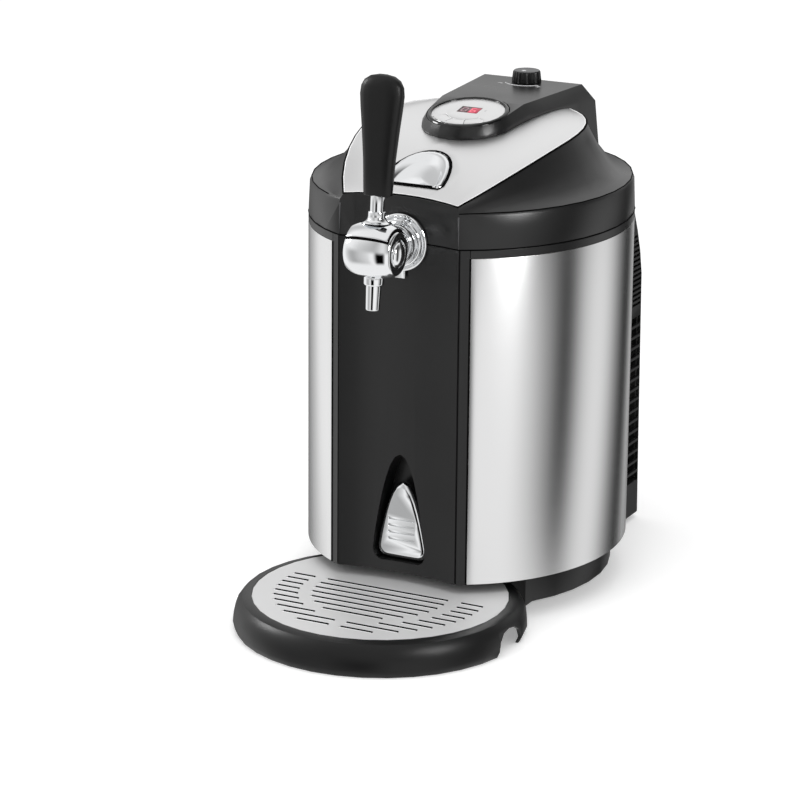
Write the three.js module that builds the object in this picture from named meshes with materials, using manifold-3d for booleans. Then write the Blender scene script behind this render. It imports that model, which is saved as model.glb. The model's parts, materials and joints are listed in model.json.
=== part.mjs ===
// Mini keg beer dispenser: an oval cooled body with a hinged lid, a lever tap and a drip tray.
// Millimetres, +Z up, the front faces -Y. Built about the middle of the oval body, then moved so that
// the origin is the centre of the whole footprint on the table.
import * as THREE from "three";
import { mergeVertices } from "three/addons/utils/BufferGeometryUtils.js";
import Module from "manifold-3d";

const wasm = await Module();
wasm.setup();

// Overall sizes
const BODY_WIDTH = 275;
const BODY_DEPTH = 309.4;
const REAR_REACH = 200;
const FRONT_REACH = 295;
const TOTAL_HEIGHT = 475;

// Clearances and shared wall sizes
const SEAM = 0.3;
const RUNNING_GAP = 0.6;
const OVERRUN = 20;
const WALL = 2.6;
const MERGE = 1e-3;

// Heights of the stacked body
const FOOT_PROUD = 1.5;
const BASE_HEIGHT = 34.9;
const TAP_TOP_RISE = 145;
const TAP_ABOVE_BODY = 9.3;
const RIM_HEIGHT = 6.6;
const LID_SEAM = 1;
const BAND_HEIGHT = 30;
const PLATE_RISE = 45.9;

const baseTop = FOOT_PROUD + BASE_HEIGHT;
const bodyBottom = baseTop + SEAM;
const tapZ = TOTAL_HEIGHT - TAP_TOP_RISE;
const bodyTop = tapZ - TAP_ABOVE_BODY;
const sideHeight = bodyTop - bodyBottom;
const rimBottom = bodyTop + SEAM;
const rimTop = rimBottom + RIM_HEIGHT;
const lidBottom = rimTop + LID_SEAM;
const bandTop = lidBottom + BAND_HEIGHT;
const plateRear = bandTop + PLATE_RISE;

// Body panels
const STEEL_THICKNESS = 1.2;
const STEEL_CORNER_HALF = 64;
const FRONT_HALF = 55.3;
const FRONT_HOLLOW = 6.7;
const FRONT_WALL = 3;
const GROOVE_WIDTH = 1.4;
const GROOVE_DEPTH = 1.6;
const FLOOR_THICKNESS = 3;

// Base plinth and feet
const BASE_HALF_WIDTH = 115.5;
const BASE_HALF_DEPTH = 135;
const BASE_CENTRE = 22;
const BASE_FACET_HALF = 91.6;
const BASE_FRONT = 75;
const BASE_WALL = 3;
const FOOT_RADIUS = 9;
const FOOT_SEAT = 2;
const FOOT_X = 68;
const FOOT_FRONT_Y = -48;
const FOOT_REAR_Y = 96;
const BOSS_WALL = 2.4;

// Rear housing, its vents and what it holds
const REAR_HALF = 81.5;
const REAR_FLOOR = 6;
const REAR_FRONT = 112.3;
const REAR_CORNER = 5;
const REAR_LEAN = 6;
const REAR_SHOULDER_DROP = 84.7;
const REAR_TOP_REACH = 155;
const SHOULDER_POWER = 1.35;
const VENT_START_SHARE = 0.0046;
const VENT_PITCH_SHARE = 0.03556;
const VENT_HEIGHT_SHARE = 0.02676;
const VENT_COUNT = 16;
const LOUVRE_GAP_SHARE = 0.0387;
const LOUVRE_PITCH_SHARE = 0.0162;
const LOUVRE_HEIGHT_SHARE = 0.00845;
const LOUVRE_COUNT = 15;
const VENT_FRONT = 134;
const VENT_MARGIN = 5;
const GRILLE_HALF = 42;
const GRILLE_FIRST = 6;
const GRILLE_COUNT = 9;

// Keg well and cooler
const WELL_RADIUS = 89;
const WELL_WALL = 2;
const WELL_FLOOR = 62;
const WELL_LIP = 7;
const LIP_THICKNESS = 1.2;
const COOLER_SHARE = 0.4623;
const COLD_HALF = 30;
const MODULE_SIZE = 40;
const MODULE_THICKNESS = 4;
const SINK_SIZE = 100;
const SINK_BASE = 6;
const FIN_DEPTH = 28;
const FIN_THICKNESS = 1.8;
const FIN_COUNT = 11;
const FAN_SIZE = 92;
const FAN_DEPTH = 25;
const FAN_BORE = 43;
const FAN_HUB = 17;
const FAN_BLADES = 7;
const FAN_STRUT = 5;
const FAN_SHAFT = 3;
const BLADE_THICKNESS = 2;
const BLADE_PITCH_DEG = 38;

// Mains side
const INLET_X = -34;
const INLET_Z = 62;
const INLET_WIDTH = 28;
const INLET_HEIGHT = 21;
const INLET_DEPTH = 26;
const INLET_FLANGE = 4;
const INLET_SOCKET_DEPTH = 16;
const PIN_RADIUS = 1.6;
const SWITCH_X = 8;
const SWITCH_WIDTH = 15;
const SWITCH_HEIGHT = 21;
const SWITCH_DEPTH = 18;
const ROCKER_DEPTH = 7;
const FLANGE_THICKNESS = 0.75;
const BOARD_WIDTH = 112;
const BOARD_DEPTH = 56;
const BOARD_THICKNESS = 1.6;
const BOARD_STANDOFF = 3.5;
const COMPONENT_HEIGHT = 14;

// Lid hinge
const HINGE_Y = 161;
const HINGE_DROP = 1.6;
const KNUCKLE_RADIUS = 5;
const HINGE_PIN_RADIUS = 2;
const KNUCKLE_X = 43;
const KNUCKLE_WIDTH = 12;
const EAR_WIDTH = 6;
const EAR_DROP = 18;
const ARM_HEIGHT = 9;

// Drip tray
const TRAY_RADIUS = 125;
const TRAY_FLAT = 2;
const TRAY_RIM_HEIGHT = 28.2;
const GRID_RADIUS = 108.8;
const GRID_THICKNESS = 2;
const GRID_SINK = 0.5;
const TRAY_WALL = 2.6;
const TRAY_RIM_WIDTH = 1.5;
const LEDGE_WIDTH = 5.5;
const BASIN_FLOOR = 5.5;
const NOTCH_WIDTH = 39;
const NOTCH_HEIGHT = 20;
const NOTCH_Y = -3;
const TONGUE_X = 36;
const TONGUE_WIDTH = 14;
const TONGUE_HEIGHT = 6;
const TONGUE_REACH = 11;
const TONGUE_Z = 9;

// Drip grid slots
const SLOT_WIDTH = 3.2;
const SLOT_PITCH = 10.7;
const SLOT_ROWS = 10;
const SLOT_FIRST = 12;
const INNER_SLOT_RADIUS = 60;
const OUTER_SLOT_START = 69;
const OUTER_SLOT_END = 92;
const SLOT_BRIDGE = 4;

// Niche and the tray catch
const NICHE_BOTTOM = 45.8;
const NICHE_HALF = 25;
const NICHE_WIDEST = 57;
const NICHE_APEX = 142;
const NICHE_DEPTH = 19;
const NICHE_WALL = 2.4;
const CATCH_APEX = 116.6;
const CATCH_SINK = 3.5;
const CATCH_THICKNESS = 6;
const CATCH_CROWN = 2.5;
const CATCH_STEM = 4;
const CATCH_TRAVEL = 3;
const CATCH_GROOVE = 1.2;
const CATCH_GROOVE_PITCH = 6;
const CATCH_GROOVES = 4;
const CATCH_GROOVE_START = 64;

// Lid shell and silver plate
const LID_WALL = 3;
const BAND_DRAFT = 1.2;
const BAND_ROUND = 2.8;
const PLATE_HALF = 94;
const PLATE_FRONT_REACH = 175.3;
const PLATE_REAR_REACH = 101.7;
const PLATE_FRONT = 139.4;
const PLATE_FRONT_HALF = 52.6;
const PLATE_FALL = 40.8;
const PLATE_FALL_LENGTH = 220;
const PLATE_CREST = 80;
const PLATE_CROWN = 5;
const CROWN_RUN = 60;
const PLATE_THICKNESS = 1.6;
const PLATE_GAP = 0.5;
const FRONT_CURVE_POWER = 1.585;
const REAR_CURVE_POWER = 2.158;
const FALL_POWER = 2.3;
const SHOULDER_CURVE = 2;
const SERVICE_HALF = 32;
const SERVICE_FRONT = 86;
const SERVICE_REAR = 124;
const LINER_DROP = 3.2;
const LINER_THICKNESS = 2.5;
const GASKET_THICKNESS = 2.1;
const GASKET_WIDTH = 6;
const HOOK_WIDTH = 16;
const HOOK_THICKNESS = 3;
const HOOK_Y = 111;
const HOOK_DROP = 6;
const HOOK_RISE = 24;

// Release button
const RELEASE_FRONT = 120;
const RELEASE_HALF = 27.5;
const RELEASE_LENGTH = 47;
const RELEASE_RIM = 6;
const RELEASE_PROUD = 1.6;
const RELEASE_DISH = 4.5;
const RELEASE_SKIRT = 9;
const RELEASE_GAP = 1.2;
const SPRING_RADIUS = 7;
const SPRING_WIRE = 1;
const SPRING_TURNS = 5;
const SPRING_Y = 100;

// Control housing and disc
const HOUSING_REAR = 130;
const HOUSING_TOP_REAR = 121.7;
const HOUSING_RISE = 15;
const HOUSING_NOSE = 8;
const NOSE_TOP_HALF = 36.5;
const NOSE_CREASE_HALF = 41;
const NOSE_FOOT_HALF = 43;
const NOSE_FOOT_REACH = 44;
const NOSE_CREASE_REACH = 41;
const NOSE_TOP_REACH = 38.5;
const REAR_TOP_HALF = 47.3;
const REAR_CREASE_HALF = 57;
const REAR_FOOT_HALF = 62;
const CREASE_DROP = 7.5;
const HOUSING_WALL = 2.6;
const DISC_Y = -11.2;
const DISC_RISE = 10.1;
const DISC_TILT_DEG = 9.8;
const DISC_RADIUS = 31.7;
const DISC_THICKNESS = 2.2;
const DISC_CROWN = 1;
const BEZEL_WIDTH = 3.8;
const BEZEL_DEPTH = 7;
const BEZEL_PROUD = 0.9;
const WINDOW_WIDTH = 18.5;
const WINDOW_HEIGHT = 13;
const WINDOW_FORWARD = 3;
const BUTTON_INNER = 19.5;
const BUTTON_MARGIN = 1;
const BUTTON_SPLIT_DEG = 17.7;
const BUTTON_END_DEG = 53;
const BUTTON_GAP = 0.4;
const BUTTON_TRAVEL = 0.6;
const BOARD_DROP = 3.2;

// Pressure knob and gas side
const KNOB_Y = 108;
const KNOB_TOP_RADIUS = 12.1;
const KNOB_BASE_RADIUS = 13.2;
const KNOB_HEIGHT = 10;
const KNOB_RIBS = 24;
const KNOB_RIB_DEPTH = 0.7;
const KNOB_SHAFT = 3.5;
const REGULATOR_RADIUS = 13;
const REGULATOR_FLANGE = 17;
const REGULATOR_NECK = 7;
const REGULATOR_DROP = 13.5;
const SLEEVE_RISE = 3.4;
const SLEEVE_RADIUS = 13.5;
const SLEEVE_WALL = 1.8;
const SLEEVE_LENGTH = 96;
const SLEEVE_CAP = 5;
const CARTRIDGE_RADIUS = 10.8;
const CARTRIDGE_LENGTH = 84;
const CARTRIDGE_NECK = 4;
const GAS_PIPE_RADIUS = 2.5;
const GAS_PIPE_DROP = 15.6;
const GAS_BEND = 4.5;
const COUPLER_RADIUS = 12;
const COUPLER_FLANGE = 16;
const COUPLER_DROP = 13;
const COUPLER_NOZZLE = 4;

// Tap, in its own leaning frame with the barrel's middle as the origin
const TAP_Y = -183.6;
const TAP_LEAN_DEG = 4.8;
const BARREL_RADIUS = 22.3;
const BARREL_HALF = 27.5;
const BARREL_SQUARENESS = 2.7;
const BARREL_END = 20.5;
const BARREL_BORE = 9.3;
const CAP_RADIUS = 12.5;
const CAP_DEPTH = 4;
const CORE_HALF = 14;
const HUB_THICKNESS = 2.3;
const HUB_HALF = 19;
const HUB_FRONT_DEG = 54;
const HUB_REAR_DEG = 32;
const NECK_RADIUS = 7.3;
const NECK_TOP = 33;
const NECK_FLARE = 5.5;
const STEM_RADIUS = 5.85;
const HANDLE_BOTTOM = 46;
const LEVER_SWING_DEG = 40;
const SPOUT_RING_RADIUS = 8.5;
const SPOUT_RING_Z = 28;
const SPOUT_RADIUS = 6.35;
const SPOUT_TIP_RADIUS = 5.9;
const SPOUT_TIP = 48.8;
const SPOUT_BORE = 4.2;
const FLANGE_RADIUS = 24.6;
const FLANGE_DEPTH = 3.4;
const SHANK_DROP = 2.2;
const SHANK_RADIUS = 10;
const SHANK_COLLAR = 17;
const SHANK_BORE = 4;
const SHANK_TAIL = 4;
const NUT_RADIUS = 15;
const NUT_THICKNESS = 6;
const NUT_GAP = 1.4;
const LUG_WIDTH = 10;
const LUG_HEIGHT = 8;
const LUG_DEPTH = 3;

// Handle sections: height share of the handle, half width and half thickness
const HANDLE_WIDEST = 19.2;
const HANDLE_THICKEST = 8;
const HANDLE_SQUARENESS = 3.2;
const handleShares = [
  [0, 0.6, 0.66],
  [0.008, 0.65, 0.74],
  [0.3, 0.73, 0.84],
  [0.55, 0.85, 0.95],
  [0.72, 0.95, 1],
  [0.83, 1, 1],
  [0.9, 0.96, 0.97],
  [0.95, 0.82, 0.87],
  [0.985, 0.55, 0.62],
  [1, 0.2, 0.22],
];

// Heights that follow the stack
const rearShoulder = bodyTop - REAR_SHOULDER_DROP;
const coolerZ = bodyBottom + COOLER_SHARE * sideHeight;
const hingeZ = rimTop - HINGE_DROP;
const shankZ = tapZ - SHANK_DROP;
const housingTop = plateRear + HOUSING_RISE;
const discZ = plateRear + DISC_RISE;
const regulatorTop = housingTop - REGULATOR_DROP;
const sleeveZ = bandTop + SLEEVE_RISE;
const gasPipeZ = bandTop - GAS_PIPE_DROP;

// Facet counts
const FINE_ROUND = 36;
const ROUND = 24;
const SMALL_ROUND = 12;
const PIN_ROUND = 8;
const BARREL_ROUND = 24;
const WELL_ROUND = 36;

// Helpers
const rad = THREE.MathUtils.degToRad;
const point = (x, y, z) => new THREE.Vector3(x, y, z);
const steps = (count) => Array.from({ length: count + 1 }, (_, i) => i / count);
const mix = THREE.MathUtils.lerp;

// The corners of a small round section for a wire or a pipe
function circlePoints(radius, count) {
  const turns = steps(count).slice(1).map((s) => 2 * Math.PI * s);
  return turns.map((angle) => new THREE.Vector2(radius * Math.cos(angle), radius * Math.sin(angle)));
}

// A closed geometry as a solid: shared points merged, flat triangles dropped, faces turned outwards.
function solid(geometry) {
  const bare = geometry.index ? geometry.toNonIndexed() : geometry.clone();
  bare.deleteAttribute("normal");
  bare.deleteAttribute("uv");
  const merged = mergeVertices(bare, MERGE);
  const place = merged.attributes.position.array;
  const index = merged.index.array;
  const corners = [];
  for (let i = 0; i < index.length; i += 3) {
    const [a, b, c] = [index[i], index[i + 1], index[i + 2]];
    if (a !== b && b !== c && c !== a) corners.push([a, b, c]);
  }
  const at = (i) => point(place[3 * i], place[3 * i + 1], place[3 * i + 2]);
  const volume = corners.reduce((sum, [a, b, c]) => sum + at(a).dot(at(b).cross(at(c))), 0);
  const turned = volume < 0 ? corners.map(([a, b, c]) => [a, c, b]) : corners;
  return new wasm.Manifold(
    new wasm.Mesh({ numProp: 3, vertProperties: place, triVerts: new Uint32Array(turned.flat()) }),
  );
}

function geometryOf(body) {
  const mesh = body.getMesh();
  const places = new Float32Array(mesh.numVert * 3);
  for (let i = 0; i < mesh.numVert; i++) {
    places.set(mesh.vertProperties.subarray(i * mesh.numProp, i * mesh.numProp + 3), i * 3);
  }
  const geometry = new THREE.BufferGeometry();
  geometry.setAttribute("position", new THREE.BufferAttribute(places, 3));
  geometry.setIndex(new THREE.BufferAttribute(mesh.triVerts, 1));
  const flat = geometry.toNonIndexed();
  flat.computeVertexNormals();
  return flat;
}

const join = (...bodies) => bodies.reduce((sum, next) => sum.add(next));
const cut = (body, ...tools) => tools.reduce((sum, tool) => sum.subtract(tool), body);

// Rings of equal length joined into a skin. Rings that shrink to a line need no cap.
function loft(rings, capFirst = true, capLast = capFirst) {
  const triangles = [];
  const count = rings[0].length;
  const add = (...points) => points.forEach((p) => triangles.push(p.x, p.y, p.z));
  for (let r = 0; r + 1 < rings.length; r++) {
    for (let i = 0; i < count; i++) {
      const next = (i + 1) % count;
      const [a, b, c, d] = [rings[r][i], rings[r][next], rings[r + 1][next], rings[r + 1][i]];
      add(a, b, c, a, c, d);
    }
  }
  const fan = (ring, flip) => {
    const middle = ring.reduce((sum, p) => sum.add(p), point(0, 0, 0)).divideScalar(count);
    ring.forEach((p, i) => {
      const next = ring[(i + 1) % count];
      add(middle, flip ? next : p, flip ? p : next);
    });
  };
  if (capFirst) fan(rings[0], true);
  if (capLast) fan(rings[rings.length - 1], false);
  const geometry = new THREE.BufferGeometry();
  geometry.setAttribute("position", new THREE.Float32BufferAttribute(triangles, 3));
  return solid(geometry);
}

// An outline in the XY plane raised from one height to another.
function raise(outline, low, high) {
  const shape = new THREE.Shape(outline.map(([x, y]) => new THREE.Vector2(x, y)));
  const geometry = new THREE.ExtrudeGeometry(shape, { depth: high - low, bevelEnabled: false });
  return solid(geometry.translate(0, 0, low));
}

// An outline in the XZ plane carried from one depth to another along Y.
function carry(outline, front, rear) {
  const shape = new THREE.Shape(outline.map(([x, z]) => new THREE.Vector2(x, z)));
  const geometry = new THREE.ExtrudeGeometry(shape, { depth: rear - front, bevelEnabled: false });
  return solid(geometry.rotateX(Math.PI / 2).translate(0, rear, 0));
}

// An outline in the YZ plane carried along X, centred on a place.
function across(outline, middle, width) {
  const shape = new THREE.Shape(outline.map(([y, z]) => new THREE.Vector2(y, z)));
  const geometry = new THREE.ExtrudeGeometry(shape, { depth: width, bevelEnabled: false });
  geometry.rotateX(Math.PI / 2).rotateZ(Math.PI / 2);
  return solid(geometry.translate(middle - width / 2, 0, 0));
}

// A profile of [radius, height] points turned about Z.
function turn(profile, segments = ROUND) {
  const points = profile.map(([r, z]) => new THREE.Vector2(r, z));
  return solid(new THREE.LatheGeometry(points, segments).rotateX(Math.PI / 2));
}

// A profile of [radius, place] points turned about the Y axis through a centre.
function turnAlongY(profile, x, z, segments = ROUND) {
  const points = profile.map(([r, y]) => new THREE.Vector2(r, y));
  return solid(new THREE.LatheGeometry(points, segments).translate(x, 0, z));
}

// A profile of [radius, place] points turned about the X axis.
function turnAlongX(profile, segments = ROUND) {
  const points = profile.map(([r, x]) => new THREE.Vector2(r, x));
  return solid(new THREE.LatheGeometry(points, segments).rotateZ(-Math.PI / 2));
}

function block(low, high) {
  const size = point(...high).sub(point(...low));
  const middle = point(...high).add(point(...low)).divideScalar(2);
  return solid(new THREE.BoxGeometry(size.x, size.y, size.z).translate(middle.x, middle.y, middle.z));
}

function rod(radius, low, high, x = 0, y = 0, segments = SMALL_ROUND) {
  const geometry = new THREE.CylinderGeometry(radius, radius, high - low, segments);
  return solid(geometry.rotateX(Math.PI / 2).translate(x, y, (high + low) / 2));
}

function rodAlongY(radius, front, rear, x, z, segments = SMALL_ROUND) {
  const geometry = new THREE.CylinderGeometry(radius, radius, rear - front, segments);
  return solid(geometry.translate(x, (front + rear) / 2, z));
}

function rodAlongX(radius, middle, width, y, z, segments = SMALL_ROUND) {
  const geometry = new THREE.CylinderGeometry(radius, radius, width, segments);
  return solid(geometry.rotateZ(Math.PI / 2).translate(middle, y, z));
}

// Materials
const finish = (color, roughness, metalness) =>
  new THREE.MeshStandardMaterial({ color, roughness, metalness });
const blackPlastic = finish(0x1b1b1d, 0.5, 0);
const glossBlack = finish(0x08080a, 0.12, 0);
const brushedSteel = finish(0xb9babc, 0.35, 1);
const silverPaint = finish(0xc9cacc, 0.4, 0.6);
const chrome = finish(0xe6e8ea, 0.08, 1);
const rubber = finish(0x151515, 0.9, 0);
const foam = finish(0xe8e6df, 0.95, 0);
const aluminium = finish(0xa9acb0, 0.4, 1);
const boardGreen = finish(0x1d5a34, 0.6, 0);
const windowGlass = finish(0x180505, 0.08, 0);
const ceramic = finish(0xf1efe8, 0.7, 0);
const brass = finish(0xb08d45, 0.35, 1);
const cartridgeSteel = finish(0x9da1a6, 0.3, 1);

const root = new THREE.Group();
root.position.set(0, (FRONT_REACH - REAR_REACH) / 2, 0);

function part(name, body, material, parent = root) {
  const mesh = new THREE.Mesh(geometryOf(body), material);
  mesh.name = name;
  parent.add(mesh);
  return mesh;
}

// Body outline: an ellipse, measured by its angle from the front
const bodyHalfWidth = BODY_WIDTH / 2;
const bodyHalfDepth = BODY_DEPTH / 2;
const onBody = (angle, inset = 0) => [
  (bodyHalfWidth - inset) * Math.sin(angle),
  -(bodyHalfDepth - inset) * Math.cos(angle),
];
const angleAt = (halfWidth) => Math.asin(halfWidth / bodyHalfWidth);
const cornerAngle = angleAt(STEEL_CORNER_HALF);
const frontAngle = angleAt(FRONT_HALF);
const rearAngle = Math.PI - angleAt(REAR_HALF + RUNNING_GAP * 2);
const frontCornerY = -onBody(frontAngle)[1];
const frontFace = frontCornerY - FRONT_HOLLOW;
const hollowAt = (share) => FRONT_HOLLOW * (1 - share * share);
const nutFront = -frontFace + FRONT_WALL + NUT_GAP;
const shankTail = nutFront + NUT_THICKNESS + SHANK_TAIL;

// The front stretch between the corners, set back by an inset
function frontCurve(inset, halfWidth = FRONT_HALF, count = 8) {
  return steps(count).map((s) => {
    const x = mix(-halfWidth, halfWidth, s);
    return [x, inset + hollowAt(x / FRONT_HALF) - frontCornerY];
  });
}

function bodyArc(from, to, inset, count) {
  return steps(count).map((s) => onBody(mix(from, to, s), inset));
}

// Base plinth
function baseOutline(grow) {
  const [a, b] = [BASE_HALF_WIDTH + grow, BASE_HALF_DEPTH + grow];
  const facet = BASE_FACET_HALF + grow;
  const start = Math.asin(facet / a);
  const arc = steps(24).map((s) => {
    const angle = mix(start, 2 * Math.PI - start, s);
    return [a * Math.sin(angle), BASE_CENTRE - b * Math.cos(angle)];
  });
  return [...arc, [-facet, -BASE_FRONT - grow], [facet, -BASE_FRONT - grow]];
}

const footPlaces = [
  ["foot_front_left", -FOOT_X, FOOT_FRONT_Y],
  ["foot_front_right", FOOT_X, FOOT_FRONT_Y],
  ["foot_rear_left", -FOOT_X, FOOT_REAR_Y],
  ["foot_rear_right", FOOT_X, FOOT_REAR_Y],
];

function tongueBox(side, grow) {
  const half = TONGUE_WIDTH / 2 + grow;
  const x = side * TONGUE_X;
  return block(
    [x - half, -BASE_FRONT - TRAY_FLAT - OVERRUN, TONGUE_Z - grow],
    [x + half, -BASE_FRONT - TRAY_FLAT + TONGUE_REACH + grow, TONGUE_Z + TONGUE_HEIGHT + grow],
  );
}

function makeBase() {
  let body = raise(baseOutline(0), FOOT_PROUD, baseTop);
  const hollow = raise(baseOutline(-BASE_WALL), -OVERRUN, baseTop - BASE_WALL);
  body = cut(body, hollow);
  for (const [, x, y] of footPlaces) {
    body = join(body, rod(FOOT_RADIUS + BOSS_WALL, FOOT_PROUD, baseTop - BASE_WALL / 2, x, y));
    body = cut(body, rod(FOOT_RADIUS + SEAM, -OVERRUN, FOOT_PROUD + FOOT_SEAT, x, y));
  }
  return cut(body, tongueBox(-1, RUNNING_GAP), tongueBox(1, RUNNING_GAP));
}

part("base", makeBase(), blackPlastic);
for (const [name, x, y] of footPlaces) {
  part(name, rod(FOOT_RADIUS, 0, FOOT_PROUD + FOOT_SEAT - SEAM, x, y), rubber);
}

// Floor pan that closes the body below and carries the panels
function makeFloorPan() {
  const inset = STEEL_THICKNESS + SEAM;
  const rim = [
    ...frontCurve(FRONT_WALL + SEAM, FRONT_HALF - FRONT_WALL),
    ...bodyArc(cornerAngle, 2 * Math.PI - cornerAngle, inset, 48),
  ];
  const pan = raise(rim, bodyBottom, bodyBottom + FLOOR_THICKNESS);
  const rearGap = block(
    [-REAR_HALF - RUNNING_GAP, REAR_FRONT - SEAM, 0],
    [REAR_HALF + RUNNING_GAP, REAR_REACH + OVERRUN, bodyTop],
  );
  const frontGap = block(
    [-STEEL_CORNER_HALF, -bodyHalfDepth, 0],
    [STEEL_CORNER_HALF, -frontCornerY + FRONT_WALL + GROOVE_DEPTH + SEAM + WALL, bodyTop],
  );
  return cut(pan, rearGap, frontGap);
}

part("floor_pan", makeFloorPan(), blackPlastic);

// Steel side panels
function makeSteelPanel(side) {
  const outer = bodyArc(cornerAngle, rearAngle, 0, 30);
  const inner = bodyArc(cornerAngle, rearAngle, STEEL_THICKNESS, 30).reverse();
  const outline = [...outer, ...inner].map(([x, y]) => [side * x, y]);
  return raise(outline, bodyBottom, bodyTop);
}

part("steel_panel_left", makeSteelPanel(-1), brushedSteel);
part("steel_panel_right", makeSteelPanel(1), brushedSteel);

// Teardrop outline of the niche and of what fits it, in the XZ plane
function teardrop(grow, apex, power = 0.47) {
  const half = NICHE_HALF + grow;
  const top = apex + grow;
  const low = NICHE_BOTTOM - grow;
  const side = steps(9).map((s) => {
    const share = s * s * (3 - 2 * s);
    return [half * (1 - share) ** power, mix(NICHE_WIDEST, top, share)];
  });
  const corner = steps(4).map((s) => {
    const angle = (Math.PI / 2) * s;
    const flat = half * (2 / 3);
    return [flat + (half - flat) * Math.sin(angle), NICHE_WIDEST - (NICHE_WIDEST - low) * Math.cos(angle)];
  });
  const right = [...corner, ...side.slice(1, -1)];
  const left = [...right].reverse().map(([x, z]) => [-x, z]);
  return [...right, [0, top], ...left];
}

// The pocket round the tap's shank that the parts behind the front panel leave free
function shankPocket() {
  const half = NUT_RADIUS + RUNNING_GAP;
  return block([-half, -bodyHalfDepth, shankZ - half], [half, shankTail + RUNNING_GAP, shankZ + half]);
}

// Front panel with its edge strips, grooves, niche pocket and half hole for the tap
function makeFrontPanel() {
  const edge = onBody(angleAt(STEEL_CORNER_HALF - SEAM));
  const strip = onBody(angleAt(FRONT_HALF + GROOVE_WIDTH));
  const groove = [FRONT_HALF + GROOVE_WIDTH / 2, -frontCornerY + GROOVE_DEPTH];
  const right = [groove, strip, edge];
  const left = [...right].reverse().map(([x, y]) => [-x, y]);
  const back = [
    [STEEL_CORNER_HALF - FRONT_WALL, -frontCornerY + FRONT_WALL + GROOVE_DEPTH + WALL],
    ...frontCurve(FRONT_WALL, FRONT_HALF - FRONT_WALL).reverse(),
    [-STEEL_CORNER_HALF + FRONT_WALL, -frontCornerY + FRONT_WALL + GROOVE_DEPTH + WALL],
  ];
  const panel = raise([...left, ...frontCurve(0), ...right, ...back], bodyBottom, rimTop);
  const innerFace = -frontFace + FRONT_WALL;
  const pocketRear = -frontFace + NICHE_DEPTH + NICHE_WALL;
  const pocket = carry(teardrop(NICHE_WALL, NICHE_APEX), innerFace - FRONT_WALL / 3, pocketRear);
  const hollow = carry(teardrop(0, NICHE_APEX), -frontFace - OVERRUN, pocketRear - NICHE_WALL);
  const shank = rodAlongY(SHANK_RADIUS + SEAM, -frontFace - OVERRUN, -frontCornerY + OVERRUN, 0, shankZ);
  return cut(join(panel, pocket), hollow, shank);
}

part("front_panel", makeFrontPanel(), blackPlastic);

// Rim frame at the top of the body, with the well's hole and the latch slot
const hookFront = -HOOK_Y - HOOK_THICKNESS;

function latchSlot() {
  const half = HOOK_WIDTH / 2 + RUNNING_GAP;
  return block(
    [-half, hookFront - RUNNING_GAP - LID_SEAM, bodyTop - HOOK_DROP * 2],
    [half, -HOOK_Y + RUNNING_GAP + LID_SEAM, rimTop + OVERRUN],
  );
}

function rimOutline(inset) {
  const back = FRONT_WALL + GROOVE_DEPTH + WALL + SEAM;
  return [
    ...frontCurve(FRONT_WALL + SEAM, FRONT_HALF - FRONT_WALL - SEAM),
    [STEEL_CORNER_HALF - FRONT_WALL, -frontCornerY + back],
    [STEEL_CORNER_HALF, -frontCornerY + back],
    ...bodyArc(cornerAngle, 2 * Math.PI - cornerAngle, inset, 56),
    [-STEEL_CORNER_HALF, -frontCornerY + back],
    [-STEEL_CORNER_HALF + FRONT_WALL, -frontCornerY + back],
  ];
}

const wellOuter = WELL_RADIUS + WELL_WALL;

function makeRimFrame() {
  const frame = raise(rimOutline(0), rimBottom, rimTop);
  const hole = rod(wellOuter + SEAM, bodyTop - OVERRUN, rimTop + OVERRUN, 0, 0, WELL_ROUND);
  return cut(frame, hole, shankPocket(), latchSlot());
}

part("rim_frame", makeRimFrame(), blackPlastic);

// Keg well with its rolled lip
function makeKegWell() {
  const lipLow = rimTop + SEAM;
  return turn([
    [0, WELL_FLOOR - WELL_WALL],
    [wellOuter, WELL_FLOOR - WELL_WALL],
    [wellOuter, lipLow],
    [wellOuter + WELL_LIP, lipLow],
    [wellOuter + WELL_LIP, lipLow + LIP_THICKNESS],
    [WELL_RADIUS, lipLow + LIP_THICKNESS],
    [WELL_RADIUS, WELL_FLOOR],
    [0, WELL_FLOOR],
  ], WELL_ROUND);
}

part("keg_well", makeKegWell(), aluminium);

// Insulation block between the well and the panels
function makeInsulation() {
  const inset = STEEL_THICKNESS + SEAM;
  const back = FRONT_WALL + GROOVE_DEPTH + WALL + SEAM;
  const outline = [
    ...frontCurve(FRONT_WALL + SEAM, FRONT_HALF - FRONT_WALL - SEAM),
    [STEEL_CORNER_HALF - FRONT_WALL, -frontCornerY + back],
    ...bodyArc(cornerAngle, 2 * Math.PI - cornerAngle, inset, 40),
    [-STEEL_CORNER_HALF + FRONT_WALL, -frontCornerY + back],
  ];
  const panTop = bodyBottom + FLOOR_THICKNESS + SEAM;
  const form = raise(outline, panTop, bodyTop);
  const wellFoot = WELL_FLOOR - WELL_WALL - SEAM;
  const well = rod(wellOuter + SEAM, wellFoot, bodyTop + OVERRUN, 0, 0, WELL_ROUND);
  const rear = block(
    [-REAR_HALF - RUNNING_GAP, REAR_FRONT - SEAM, 0],
    [REAR_HALF + RUNNING_GAP, REAR_REACH, bodyTop + OVERRUN],
  );
  const window = block(
    [-COLD_HALF - SEAM, 0, coolerZ - COLD_HALF - SEAM],
    [COLD_HALF + SEAM, REAR_REACH, coolerZ + COLD_HALF + SEAM],
  );
  const nicheRear = -frontFace + NICHE_DEPTH + NICHE_WALL + SEAM;
  const niche = carry(teardrop(NICHE_WALL + SEAM, NICHE_APEX), -bodyHalfDepth - OVERRUN, nicheRear);
  return cut(form, well, rear, window, niche, shankPocket(), latchSlot());
}

part("insulation", makeInsulation(), foam);

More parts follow.
